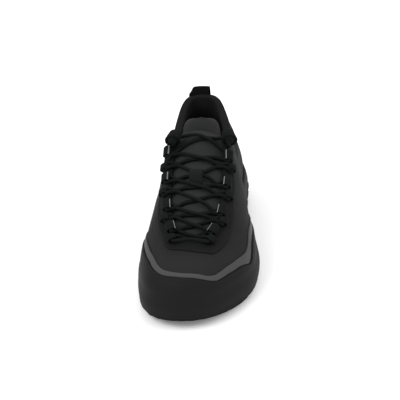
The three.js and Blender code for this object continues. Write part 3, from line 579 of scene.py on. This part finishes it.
# Midsole: the sole side with its step and heel ribs, closed by rim, floor and underside.
HEEL_RIBS = 36
SHRINK_SHARES = (0.9, 0.5, 0.1)
u = np.arange(432) / 432
w = np.concatenate([np.linspace(0, 0.32, 9), np.linspace(0.35, 0.43, 8), np.linspace(0.46, 0.52, 4),
                    np.linspace(0.55, 0.63, 8), np.linspace(0.67, 1, 11)])
side = sole_side(u, w)
step = smooth(0.36, 0.42, w) * (1 - smooth(0.56, 0.62, w))
from_heel = np.minimum(u, 1 - u)
ribbed = smooth(0.015, 0.03, from_heel) * (1 - smooth(0.19, 0.205, from_heel))
ribs = ribbed * smooth(0.25, 0.75, 0.5 + 0.5 * np.cos(TAU * HEEL_RIBS * u))
rib_rows = smooth(0.02, 0.06, w) * (1 - smooth(0.34, 0.39, w))
offset = (HEEL_RIB * ribs[:, None] * rib_rows[None]
          - SIDE_STEP * step[None] * (1 - toe_zone(u))[:, None])
side = side + outward(u)[:, None] * offset[..., None]
side[:, 0] -= outward(u) * 0.5
rim = skin(u, rim_share(u), CLEAR)[:, None]
rim[:, 0, 2] += 0.2
corner = foot(u) + outward(u) * CLEAR
corner[:, 2] = foot_height(corner[:, 1]) - CLEAR
floor_rows = []
for share in SHRINK_SHARES:
    row = shrunk(corner, share)
    row[:, 2] = foot_height(row[:, 1]) - CLEAR
    floor_rows.append(row)
under_rows = []
for share in SHRINK_SHARES[::-1]:
    row = shrunk(side[:, 0], share)
    row[:, 2] = OUTSOLE_TOP + CLEAR + ground_lift(row[:, 1])
    under_rows.append(row)
body = np.concatenate([np.stack(under_rows, 1), side, rim, corner[:, None],
                       np.stack(floor_rows, 1)], 1)
piece("midsole_body", loft(np.swapaxes(body, 0, 1)), FOAM, ["midsole"])

# Outsole: the solid itself, with its edges softened.
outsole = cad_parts["outsole"]
outsole.data.materials.clear()
outsole.data.materials.append(RUBBER)
soften = outsole.modifiers.new("edges", "BEVEL")
soften.width = 0.5 * MM
soften.segments = 2
soften.limit_method = "ANGLE"
soften.angle_limit = math.radians(40)

# Edges of the overlays round the toe: u, then the top edge of the rubber and of the film.
TOE_EDGES = np.array([
    (0.236, 0.080, 0.100), (0.264, 0.140, 0.210), (0.306, 0.260, 0.360), (0.333, 0.310, 0.425),
    (0.347, 0.310, 0.420), (0.361, 0.235, 0.370), (0.375, 0.160, 0.350), (0.389, 0.230, 0.375),
    (0.403, 0.275, 0.405), (0.431, 0.285, 0.415), (0.458, 0.250, 0.360), (0.472, 0.295, 0.380),
    (0.486, 0.345, 0.435), (0.500, 0.380, 0.465), (0.528, 0.400, 0.480), (0.556, 0.390, 0.485),
    (0.583, 0.435, 0.545), (0.597, 0.450, 0.552), (0.625, 0.405, 0.500), (0.639, 0.370, 0.460),
    (0.681, 0.250, 0.330), (0.722, 0.140, 0.190), (0.750, 0.080, 0.100),
])
STAY_EDGE = np.array([
    (0.208, 0.780), (0.236, 0.800), (0.278, 0.835), (0.306, 0.790), (0.333, 0.790), (0.361, 0.745),
    (0.389, 0.720), (0.444, 0.713), (0.458, 0.777), (0.472, 0.818), (0.500, 0.868), (0.528, 0.875),
    (0.542, 0.865), (0.569, 0.805), (0.611, 0.785), (0.639, 0.735), (0.667, 0.720), (0.708, 0.795),
    (0.750, 0.850), (0.792, 0.800),
])


def eased(table, column, u, blur=0.004):
    """A column of a table at u, with its corners a little rounded."""
    return sum(np.interp(u + shift * blur, table[:, 0], table[:, column])
               for shift in (-1, -0.5, 0, 0.5, 1)) / 5


def fine_columns(table, count):
    return np.linspace(table[0, 0], table[-1, 0], count)


def edge_rows(radius, length, inner_rows):
    """Places up a strip, dense at both edges, as lengths."""
    near = np.array([0, 0.1, 0.3, 0.6, 1.0]) * radius
    return np.concatenate([near, np.linspace(radius, length - radius, inner_rows)[1:-1],
                           length - near[::-1]])


END_TAPER = 0.006


def overlay(u, low, high, layer, inner_rows, radius):
    """A sheet on the upper between two shares of the wall, with rounded edges."""
    rows = []
    for i, x in enumerate(u):
        length = wall_length(x)
        span = max((high[i] - low[i]) * length, 2.2 * radius)
        d = edge_rows(radius, span, inner_rows)
        v = np.clip(low[i] + d / length, 0, 1)
        near = np.clip(np.minimum(d, span - d) / radius, 0, 1)
        ends = smooth(0, END_TAPER, min(x - u[0], u[-1] - x) + END_TAPER * 0.1)
        round_off = np.sqrt(1 - (1 - near) ** 2)
        outer = skin(np.full_like(v, x), v, CLEAR + layer * round_off * ends)
        inner = skin(np.full_like(v, x), v, np.full_like(v, CLEAR))
        rows.append(np.concatenate([outer, inner[::-1][1:-1]]))
    return loft(np.array(rows))


# Film above the rubber, the lighter line round the toe.
RUBBER_OVER_RIM, LEAST_FILM = 2.5, 1.0
u = fine_columns(TOE_EDGES, 300)
rim_u = rim_share(u)
length_u = wall_length(u)
rand_high = np.maximum(eased(TOE_EDGES, 1, u), rim_u + RUBBER_OVER_RIM / length_u)
band_low = rand_high + CLEAR / length_u
band_high = np.maximum(eased(TOE_EDGES, 2, u), band_low + LEAST_FILM / length_u)
piece("toe_film", overlay(u, band_low, band_high, FILM, 6, radius=0.5), BAND,
      ["toe_band"])

# Rubber rand: one smooth bulging face from its skirt over the outsole up to its rounded edge.
# RIM_LAP is its share of the sole side behind the toe, and RAND_FOOT where it starts at the toe.
RIM_LAP, RAND_FOOT, SKIRT, SKIRT_THICK = 0.15, 0.02, 3.0, 0.65
ABOVE_RIM, LOW_ROUND, HIGH_ROUND = 2.0, 0.8, 1.0
BULGE = np.array([1.15, 1.1, 1.0, 1.0])
ends_u = smooth(u[0] - 0.01, u[0] + 0.04, u) * smooth(1 - u[-1] - 0.01, 1 - u[-1] + 0.04, 1 - u)
rand_rows = []
for i, x in enumerate(u):
    thick = RAND * (0.4 + 0.6 * ends_u[i])
    zone = float(toe_zone(x))
    start = 1 - (1 - RAND_FOOT) * lerp(RIM_LAP, 1, zone)
    low_w = np.array([start, lerp(start, 1, 0.3), lerp(start, 1, 0.6)])
    out = outward(np.array([x]))[0]
    lower = sole_side(np.array([x]), low_w)[0]
    shares = lerp(rim_u[i] + ABOVE_RIM / length_u[i], rand_high[i], np.array([0.0, 0.33, 0.66, 1.0]))
    upper_in = wall(np.full(4, x), shares)
    upper_n = normal(np.full(4, x), shares)
    base_low = lower + out * CLEAR
    base_high = upper_in + upper_n * CLEAR
    full_low = lower + out * (CLEAR + thick)
    full_high = upper_in + upper_n * (CLEAR + thick * BULGE)[:, None]
    lip = full_low[0] - UP * SKIRT * zone
    full_skirt = np.array([lip, lerp(lip, full_low[0], 0.7)])
    base_skirt = np.array([lip, lerp(lip, full_low[0], 0.93)]) - out * min(SKIRT_THICK, thick)
    outer = curve(np.concatenate([full_skirt, full_low, full_high]), 6)
    inner = curve(np.concatenate([base_skirt, base_low, base_high]), 6)
    span = np.linalg.norm(np.diff(outer, axis=0), axis=1)
    d = np.concatenate([[0], np.cumsum(span)])
    near = np.clip(np.minimum(d / LOW_ROUND, (d[-1] - d) / HIGH_ROUND), 0, 1)
    near = np.sqrt(1 - (1 - near) ** 2)
    taper = smooth(0, 0.008, min(x - u[0], u[-1] - x) + 0.001)
    outer = inner + (outer - inner) * near[:, None] * taper
    rand_rows.append(np.concatenate([outer, inner[::-1][1:-1]]))
piece("toe_rand", loft(np.array(rand_rows)), SMOOTH_RUBBER, ["rand"])

# Eyestay, from its table up to the edge of the throat.
u = fine_columns(STAY_EDGE, 300)
stay = overlay(u, eased(STAY_EDGE, 1, u), np.ones_like(u), EYESTAY, 14, radius=0.9)
piece("eyestay_sheet", stay, STAY, ["eyestay"])

# Tongue: rows under and between the throat edges, then free rows up to its rounded top.
THROAT_ROWS = (0.47, 0.45, 0.43, 0.40, 0.37, 0.34, 0.31, 0.285, 0.27, 0.255, 0.238)
FREE_ROWS = (  # back, rise, width, edge back, edge drop
    (0.06, 0.02, 1.02, 1.2, 2.2), (0.20, 0.24, 0.95, 2.0, 1.4), (0.34, 0.50, 0.87, 2.2, 1.0),
    (0.46, 0.75, 0.75, 2.0, 0.9), (0.52, 0.92, 0.58, 1.8, 0.9), (0.54, 1.00, 0.38, 1.4, 0.7),
)
LAST_ROW = len(THROAT_ROWS) + len(FREE_ROWS) - 1
TUCK, EDGE_SHARE, TONGUE_ASIDE = 0.78, 0.93, 1.6
# Puffed middle above the top crossing, and the seam below the top edge, in rows of the tongue.
PUFF, PUFF_FROM, PUFF_ROWS = 0.9, 10.6, 5.0
SEAM_DEPTH, SEAM_ROW, SEAM_REACH = 0.7, 15.2, 0.16


def tongue_crest(u):
    dome = lerp(-WALL - TONGUE_GAP, TONGUE_DOME, smooth(0.555, 0.65, 1 - u))
    return (top(u) + top(1 - u)) / 2 + UP * dome


def tongue_grid():
    def under(u, v):
        return skin(u, v, -thickness(u, v) - TONGUE_GAP)
    rows = []
    for k, u in enumerate(THROAT_ROWS):
        middle = (under(0.5, TUCK), under(0.5, EDGE_SHARE), tongue_crest(u))[min(k, 2)]
        rows.append([under(u, TUCK), under(u, EDGE_SHARE), middle, under(1 - u, EDGE_SHARE),
                     under(1 - u, TUCK)])
    root = tongue_crest(THROAT_ROWS[-1])
    for back, rise, width, edge_back, edge_drop in FREE_ROWS:
        centre = root + np.array([0, back, rise]) * TONGUE_RISE + np.array([TONGUE_ASIDE, 0, 0])
        reach = width * TONGUE_HALF_WIDTH

        def beside(side, across, drop):
            return centre + np.array([side * across * reach, drop * edge_back * TONGUE_DOME,
                                      -drop * edge_drop * TONGUE_DOME])
        rows.append([beside(1, 1, 1), beside(1, 0.62, 0.3), centre, beside(-1, 0.62, 0.3),
                     beside(-1, 1, 1)])
    return np.array(rows)


def grid_normals(grid):
    along = np.gradient(grid, axis=0)
    across = np.gradient(grid, axis=1)
    return unit(np.cross(along, across))


upper_face = refine(tongue_grid(), 8, 12)
n_rows, n_cols = upper_face.shape[:2]
facing = grid_normals(upper_face)
across = np.abs(np.linspace(-1, 1, n_cols))[None]
row_at = np.linspace(0, LAST_ROW, n_rows)[:, None]
along = smooth(0, 4, row_at) * (1 - smooth(LAST_ROW - 2, LAST_ROW, row_at))
full = (1 - across ** 4) * along
depth = TONGUE_EDGE + (TONGUE - TONGUE_EDGE) * full
tip = np.clip((LAST_ROW - row_at) / 0.8, 0, 1)
rim_round = np.sqrt(np.clip(1 - (1 - np.clip((1 - across) / 0.06, 0, 1)) ** 2, 0, 1)) \
    * np.sqrt(1 - (1 - tip) ** 2)
puff = PUFF * np.sin(math.pi * np.clip((row_at - PUFF_FROM) / PUFF_ROWS, 0, 1)) * (1 - across ** 2)
seam = SEAM_DEPTH * np.exp(-((row_at - SEAM_ROW) / SEAM_REACH) ** 2)
centre_face = upper_face - facing * (depth / 2)[..., None]
tongue_face = centre_face + facing * (depth / 2 * rim_round + puff * rim_round - seam)[..., None]
lower_face = centre_face - facing * (depth / 2 * rim_round)[..., None]
sections = np.concatenate([tongue_face, lower_face[:, ::-1]], 1)
tongue = piece("tongue_pad", loft(sections), TONGUE_MESH, ["tongue"])

# Stitches: short threads along a path of low and high points, each bowed out of the cloth.
STITCH, STITCH_GAP, THREAD_RADIUS = 2.3, 0.9, 0.24


def stitches(low, high):
    d = np.concatenate([[0], np.cumsum(np.linalg.norm(np.diff(high, axis=0), axis=1))])
    rows = []
    for start in np.arange(0, d[-1] - STITCH, STITCH + STITCH_GAP):
        place = start + STITCH * np.array([0, 0.12, 0.35, 0.65, 0.88, 1])
        lift = np.array([0, 0.7, 1, 1, 0.7, 0])[:, None]
        a, b = (np.stack([np.interp(place, d, grid[:, k]) for k in range(3)], 1)
                for grid in (low, high))
        rows.append(tube(lerp(a, b, lift), THREAD_RADIUS, 6))
    return rows


def seam_path(u, v, base):
    return skin(u, v, base - 0.3), skin(u, v, base + 0.12)


STAY_SEAMS, COLLAR_SEAMS = (2.2, 4.0), (2.2, 3.8)
u = np.linspace(0.212, 0.788, 700)
rows = []
for inside in STAY_SEAMS:
    v = eased(STAY_EDGE, 1, u) + inside / wall_length(u)
    rows += stitches(*seam_path(u, v, np.full_like(u, CLEAR + EYESTAY)))
u = np.linspace(-0.195, 0.195, 500)
for below in COLLAR_SEAMS:
    v = seam_share(u) - below / wall_length(u)
    rows += stitches(*seam_path(u, v, relief(u, v)))
piece("seam_thread", rows, THREAD)

# Lace guides. Each sits in a frame on the eyestay: x across toward the throat, y out of the wall
# and z along the edge.
LOOP_SPAN, RING_HEIGHT = 8.4, LACE + 2 * WEBBING + CLEAR
GUIDES = {  # span, height, width, inset from the throat edge
    "ear": (14.5, 17.0, 9.5, 0.0),
    "edge": (LOOP_SPAN, RING_HEIGHT, 9.5, LOOP_SPAN / 2 - 3.0),
    "slot": (LOOP_SPAN, RING_HEIGHT, 6.0, 5.5),
}
EAR_LEANS = (42.0, 62.0)
EAR_THICK, EAR_ASIDE, EAR_UP, EAR_TAPER, EAR_DROP = 2.6, 2.0, 1.6, 0.24, 0.12
RING_POINTS, EAR_SQUARE, LOOP_SQUARE = 44, 0.9, 0.8
# Section of the webbing: shares of half its thickness and half its width.
RING_SECTION = ((1, -0.86), (1, 0.86), (0.6, 1), (-0.6, 1), (-1, 0.86), (-1, -0.86), (-0.6, -1),
                (0.6, -1))
# Sections of the folded face of a top loop: place across its width, and share of the opening.
FACE_SECTIONS = ((-0.55, 0.2), (-0.53, 0.6), (-0.48, 0.9), (-0.40, 1.03), (0.40, 1.03), (0.48, 0.9),
                 (0.53, 0.6), (0.55, 0.2))
LACE_ROWS = (  # kind, u on the outer side, u on the inner side
    ("ear", 0.262, 0.738), ("edge", 0.279, 0.728), ("slot", 0.2905, 0.712), ("edge", 0.323, 0.687),
    ("slot", 0.3395, 0.668), ("edge", 0.37, 0.64), ("slot", 0.3835, 0.624), ("edge", 0.412, 0.597),
    ("slot", 0.434, 0.573),
)


def guide_frame(kind, u):
    """Axes as columns, and origin."""
    v = 1 - GUIDES[kind][3] / wall_length(u)
    out = normal(u, v)
    across = unit(np.cross(out, top(u - 0.002) - top(u + 0.002)))
    along = np.cross(across, out)
    origin = skin(u, v, EYESTAY + 2 * CLEAR)
    a = math.radians(EAR_LEANS[int(u > 0.5)]) if kind == "ear" else 0.0
    x = math.cos(a) * across - math.sin(a) * out
    y = math.sin(a) * across + math.cos(a) * out
    if kind == "ear":
        heelward = along if u < 0.5 else -along
        origin = origin + np.array([EAR_ASIDE, 0, 0]) + heelward * EAR_UP
    return np.stack([x, y, along], -1), origin + out * math.sin(a) * CLEAR


def squarish(c, power):
    return np.sign(c) * np.abs(c) ** power


def ring_path(span, height, thick, square):
    """Outer and inner line of a ring, an oval with fuller corners where square is smaller."""
    turn = np.arange(RING_POINTS) * TAU / RING_POINTS
    rounded = np.stack([span / 2 * squarish(np.cos(turn), square),
                        height / 2 * squarish(np.sin(turn), square)], -1)
    inward = rounded * [1 - 2 * thick / span, 1 - 2 * thick / height]
    return rounded, inward


def shaped(kind, u, x, y, z):
    """Local point of a guide; the top loops narrow toward the heel, away from the throat."""
    span, _, width, _ = GUIDES[kind]
    if kind == "ear":
        heel = smooth(-0.5, 0.5, z / width if u < 0.5 else -z / width)
        x = x + (span / 2 - x) * EAR_TAPER * heel
        y = y * (1 - EAR_DROP * heel)
    return np.array([x, y, z])


def webbing_ring(kind, u, thick, square):
    span, height, width, _ = GUIDES[kind]
    axes, origin = guide_frame(kind, u)
    rounded, inward = ring_path(span, height, thick, square)
    loops = []
    for outer, inner in zip(rounded, inward):
        middle, half = (outer + inner) / 2, (outer - inner) / 2
        section = []
        for a, b in RING_SECTION:
            x, y = middle + half * a
            section.append(origin + axes @ shaped(kind, u, x, y + height / 2, b * width / 2))
        loops.append(section)
    return loft(np.array(loops), closed=True)


sides = [(kind, pick) for kind, *pair in LACE_ROWS for pick in pair]
for kind in GUIDES:
    thick, square = (EAR_THICK, EAR_SQUARE) if kind == "ear" else (WEBBING, LOOP_SQUARE)
    nodes = [f"{k}_loop_{side}_{i}" for i, (k, _, _) in enumerate(LACE_ROWS) if k == kind
             for side in ("outer", "inner")]
    piece(f"{kind}_loops", [webbing_ring(k, u, thick, square) for k, u in sides if k == kind],
          GUIDE_WEB, nodes, sharp=50)


def ear_face(u):
    """Webbing folded across the opening of a top loop."""
    span, height, width, _ = GUIDES["ear"]
    axes, origin = guide_frame("ear", u)
    hole = ring_path(span, height, EAR_THICK, EAR_SQUARE)[1]
    sections = []
    for z, share in FACE_SECTIONS:
        local = [shaped("ear", u, x * share, y * share + height / 2, z * width) for x, y in hole]
        sections.append([origin + axes @ point for point in local])
    return loft(np.array(sections))


piece("ear_faces", [ear_face(u) for k, u in sides if k == "ear"], KEEPER, sharp=60)


FOLD_TURNS = (2, 22)
# Section of the painted highlight strip: how far it stands off the webbing, and share of half its
# width.
FOLD_SECTION = ((0.05, -0.98), (0.34, -0.94), (0.34, 0.94), (0.05, 0.98))


def fold(u):
    """Light strip on the fold of an edge loop, on its throat side: a painted highlight where the
    fold catches the light.
    """
    span, height, width, _ = GUIDES["edge"]
    axes, origin = guide_frame("edge", u)
    turns = np.radians(np.linspace(*FOLD_TURNS, 7))
    sections = []
    for k, turn in enumerate(turns):
        ends = min(k, len(turns) - 1 - k, 2) / 2
        section = []
        for lift, share in FOLD_SECTION:
            reach = 1 + (0.02 + lift * ends) * 2 / span
            x = span / 2 * squarish(np.cos(turn), LOOP_SQUARE) * reach
            y = height / 2 * squarish(np.sin(turn), LOOP_SQUARE) * reach + height / 2
            section.append(origin + axes @ np.array([x, y, share * width / 2]))
        sections.append(section)
    return loft(np.array(sections))


piece("loop_folds", [fold(u) for k, u in sides if k == "edge"], FOLD_HIGHLIGHT, sharp=50)

# Lace: two strands that cross between the rows, joined by a bar across the lowest row.
# CROSSING is the share of the way to the next row at which they cross, by the kind of the row
# above, and KEPT_CROSSING the one under the keeper. TUNNEL holds places through a guide, in half
# widths of it.
CROSSING, KEPT_CROSSING, KEPT_ROW = {"ear": -0.1, "edge": 0.8, "slot": 0.6}, 0.75, 3
TUNNEL = (-1.15, -0.5, 0.5, 1.15)
EAR_MOUTH, EAR_SPREAD, EAR_ROWS = 2.2, 0.2, (1, 1.2)
LACE_LIFT, LACE_OVER, OVER_REACH = LACE / 2 + 0.25, 0.95 * LACE, 0.4
LOW_BAR = np.array([0, -2.0, 4.2])
# Points between a crossing and its guides: share of the way out to the tongue's edge, and share of
# the way to the guide's row, first toward the lower row, then from the upper one. Under the top
# loops the second is a share of EAR_ROWS, tongue rows up and down from the crossing.
RUN_DOWN, RUN_UP = ((0.18, 0.45), (0.33, 0.9)), ((0.33, 0.9), (0.18, 0.45))
ARCHES = {
    "ear": (((0.3, 0.3), (0.6, 0.75), (0.85, 1.2)), ((0.8, 1.1), (0.45, 0.85))),
    "edge": (RUN_DOWN, RUN_UP),
    "slot": (RUN_DOWN, RUN_UP),
}


def mouth(row, side, end):
    kind = LACE_ROWS[row][0]
    axes, origin = guide_frame(kind, LACE_ROWS[row][1 + side])
    _, height, width, _ = GUIDES[kind]
    toward_toe = -end if side == 0 else end
    aside = EAR_MOUTH if kind == "ear" else 0.0
    return origin + axes @ np.array([aside, height / 2, toward_toe * width / 2])


def on_tongue(row, across, lift):
    """Point over the tongue; across runs from -1 at its outer edge to 1 at its inner edge."""
    i = np.clip(row / LAST_ROW * (n_rows - 1), 0, n_rows - 1.001)
    j = np.clip((across + 1) / 2 * (n_cols - 1), 0, n_cols - 1.001)
    a, b = int(i), int(j)
    s, t = i - a, j - b
    blend = lambda grid: (grid[a, b] * (1 - s) * (1 - t) + grid[a + 1, b] * s * (1 - t)
                          + grid[a, b + 1] * (1 - s) * t + grid[a + 1, b + 1] * s * t)
    return blend(tongue_face) + blend(facing) * lift


def tongue_row(u):
    return float(np.interp(u, THROAT_ROWS[::-1], np.arange(len(THROAT_ROWS))[::-1]))


def strand(start):
    """Path of one strand from a top loop down; start is 0 on the outer side."""
    points, side = [mouth(0, start, end) for end in TUNNEL], start
    for k in range(1, len(LACE_ROWS)):
        upper, lower = LACE_ROWS[k - 1], LACE_ROWS[k]
        other = 1 - side
        share = KEPT_CROSSING if k == KEPT_ROW else CROSSING[upper[0]]
        middle = tongue_row(lerp(upper[1], lower[1], share))
        begin = tongue_row(upper[1] if side == 0 else 1 - upper[2])
        end = tongue_row(lower[1] if other == 0 else 1 - lower[2])
        if k == 1:
            middle += EAR_SPREAD * (side - 0.3)
            begin, end = middle + EAR_ROWS[0], middle - EAR_ROWS[1]
        sign = -1 if side == 0 else 1
        over = LACE_OVER if side == 1 else 0.0
        down, up_side = ARCHES[upper[0]]
        for across, share in up_side:
            lift = LACE_LIFT + over * max(0, 1 - across / OVER_REACH)
            points.append(on_tongue(lerp(middle, begin, share), sign * across, lift))
        points.append(on_tongue(middle, 0, LACE_LIFT + over))
        for across, share in down:
            lift = LACE_LIFT + over * max(0, 1 - across / OVER_REACH)
            points.append(on_tongue(lerp(middle, end, share), -sign * across, lift))
        side = other
        points += [mouth(k, side, end) for end in TUNNEL]
    return points


def surface_tree(names):
    """Search tree over the faces of finished pieces, in the shoe's own frame."""
    verts, faces = [], []
    for name in names:
        mesh = bpy.data.objects[name].data
        start = len(verts)
        verts += [Vector(np.array(v.co) / MM - ORIGIN) for v in mesh.vertices]
        faces += [[start + i for i in polygon.vertices] for polygon in mesh.polygons]
    return BVHTree.FromPolygons(verts, faces)


def laid_over(path, tree, gap, toward, rounds=4, stride=0.25, reach=40):
    """Path raised along one direction until it clears the surfaces, then eased and raised again."""
    path = path.copy()
    raised = np.zeros(len(path), bool)
    for _ in range(rounds):
        eased_path = 0.25 * path[:-2] + 0.5 * path[1:-1] + 0.25 * path[2:]
        path[1:-1] = np.where(raised[1:-1, None], eased_path, path[1:-1])
        for i, point in enumerate(path):
            for _ in range(reach):
                near, away, _, apart = tree.find_nearest(Vector(point))
                if apart >= gap and (Vector(point) - near).dot(away) >= 0:
                    break
                point = point + stride * toward
                raised[max(0, i - 2):i + 3] = True
            path[i] = point
    return path


left, right = strand(0), strand(1)
path = curve(left + [top(np.array(0.5)) + LOW_BAR] + right[::-1], 8)
soft_faces = surface_tree(["eyestay_sheet", "upper_shell", "collar_lining", "tongue_pad"])
path = laid_over(path, soft_faces, LACE / 2 + 0.1, unit(np.array([0, -0.45, 0.9])))
piece("lace", tube(path, LACE / 2, 14, 0.92), LACE_CORD,
      [f"lace_crossing_{i}" for i in range(1, 9)])

# Webbing strap on the tongue that holds a crossing down.
KEEPER_WIDTH, KEEPER_HEIGHT, KEEPER_START, KEEPER_END = 12.0, 7.6, 0.018, 0.0095
# Section of the strap: shares of half its width and of its thickness.
STRAP_SECTION = ((-0.97, 0), (-1, 0.3), (-1, 0.7), (-0.97, 1), (0.97, 1), (1, 0.7), (1, 0.3),
                 (0.97, 0))
t = np.linspace(0, 1, 25)
shares = lerp(LACE_ROWS[2][1] + KEEPER_START, LACE_ROWS[3][1] + KEEPER_END, t)
lift = 2 * CLEAR + KEEPER_HEIGHT * np.sin(math.pi * t) ** 0.7
sections = []
for share, rise in zip(shares, lift):
    centre = tongue_crest(share) + UP * rise
    sections.append([centre + np.array([x * KEEPER_WIDTH / 2, 0, z * WEBBING])
                     for x, z in STRAP_SECTION])
piece("keeper_strap", loft(np.array(sections)), KEEPER, ["tongue_keeper"], sharp=50)

# Pull loop over the back of the collar.
PULL_WIDTH, PULL_RISE, PULL_OFFSET, PULL_OFF_WALL = 21.0, 9.0, -3.0, 1.2
# Shares of the wall down the outer leg, and the share of the rise left at the slanted end.
PULL_LEG = np.array([0.78, 0.83, 0.89, 0.95])
PULL_SLANT = 0.45
reach = 1 / 72
per_share = np.linalg.norm(top(reach) - top(-reach)) / (2 * reach)
centre_u, half_u = PULL_OFFSET / per_share, PULL_WIDTH / 2 / per_share


def pull_path(x, webbing):
    thick = thickness(x, 1.0)
    radius = thick / 2 + 2 * CLEAR + webbing
    turns = math.pi * np.linspace(0, 1, 15)
    slant = PULL_SLANT + (1 - PULL_SLANT) * smooth(-1.0, -0.55, (x - centre_u) / half_u)
    arch = skin(np.full(15, x), np.ones(15), (radius - thick + radius * np.cos(turns)) / 2) \
        + UP * ((PULL_RISE + webbing) * slant * np.sin(turns))[:, None]
    outside = skin(np.full(4, x), PULL_LEG, np.full(4, PULL_OFF_WALL + webbing))
    seam = skin(x, 1.0, -thick / 2 - webbing) + UP * 0.4
    return np.concatenate([outside, arch[1:-1], seam[None]])


across_u = np.linspace(-1, 1, 13)
outer_web = np.array([curve(pull_path(centre_u + half_u * k, WEBBING), 3) for k in across_u])
inner_web = np.array([curve(pull_path(centre_u + half_u * k, 0.0), 3) for k in across_u])
sections = np.concatenate([outer_web, inner_web[::-1]])
piece("pull_webbing", loft(np.swapaxes(sections, 0, 1)), WEB, ["pull_loop"],
      sharp=50)

# Stage: pale floor, soft light and the camera.
bpy.ops.mesh.primitive_plane_add(size=12, location=(0, 0, 0))
floor = bpy.context.object
floor.name = "floor"
floor_material = bpy.data.materials.new("floor_paint")
add = node_group(floor_material)
floor_shader = add("ShaderNodeBsdfPrincipled", {"Base Color": (0.93, 0.93, 0.93, 1),
                                                "Roughness": 0.9, "Specular IOR Level": 0.1,
                                                "Emission Color": (1, 1, 1, 1),
                                                "Emission Strength": 0.1})
add("ShaderNodeOutputMaterial", {"Surface": floor_shader.outputs[0]})
floor.data.materials.append(floor_material)

world = bpy.data.worlds.new("studio")
world.use_nodes = True
world.node_tree.nodes["Background"].inputs[0].default_value = (1, 1, 1, 1)
world.node_tree.nodes["Background"].inputs[1].default_value = 0.75
bpy.context.scene.world = world


def area_light(name, place, aim, size, power):
    data = bpy.data.lights.new(name, "AREA")
    data.shape = "RECTANGLE"
    data.size, data.size_y = size
    data.energy = power
    made = bpy.data.objects.new(name, data)
    made.location = place
    made.rotation_euler = (Vector(aim) - Vector(place)).to_track_quat("-Z", "Y").to_euler()
    bpy.context.scene.collection.objects.link(made)


area_light("key", (-0.9, -0.7, 1.3), (0, 0, 0.04), (1.0, 1.0), 16)
area_light("fill", (1.1, -0.3, 1.0), (0, 0, 0.04), (1.2, 1.2), 7)
area_light("back", (0.1, 1.2, 1.2), (0, 0, 0.05), (1.4, 0.8), 9)

# Camera fitted to the photograph: place in the shoe's own frame, turn, and focal length for 400 px.
CAMERA_PLACE = np.array([63.288, -1065.250, 619.034])
CAMERA_YAW, CAMERA_PITCH, CAMERA_ROLL = -0.058521, 0.488652, -0.039241
FOCAL_PIXELS, FRAME_PIXELS = 1300.0, 400.0
ahead = np.array([math.sin(CAMERA_YAW) * math.cos(CAMERA_PITCH),
                  math.cos(CAMERA_YAW) * math.cos(CAMERA_PITCH), -math.sin(CAMERA_PITCH)])
level = np.array([math.cos(CAMERA_YAW), -math.sin(CAMERA_YAW), 0.0])
above = np.cross(level, ahead)
c, s = math.cos(CAMERA_ROLL), math.sin(CAMERA_ROLL)
right_axis, up_axis = c * level + s * above, -s * level + c * above
lens = bpy.data.cameras.new("camera")
lens.sensor_width = 36.0
lens.lens = lens.sensor_width * FOCAL_PIXELS / FRAME_PIXELS
lens.clip_start, lens.clip_end = 0.05, 40.0
camera = bpy.data.objects.new("camera", lens)
turn = Matrix([list(row) for row in np.stack([right_axis, up_axis, -ahead], -1)])
camera.matrix_world = Matrix.Translation(Vector((CAMERA_PLACE + ORIGIN) * MM)) @ turn.to_4x4()
bpy.context.scene.collection.objects.link(camera)
bpy.context.scene.camera = camera
bpy.context.scene.view_settings.view_transform = "Standard"
bpy.context.scene.view_settings.look = "None"
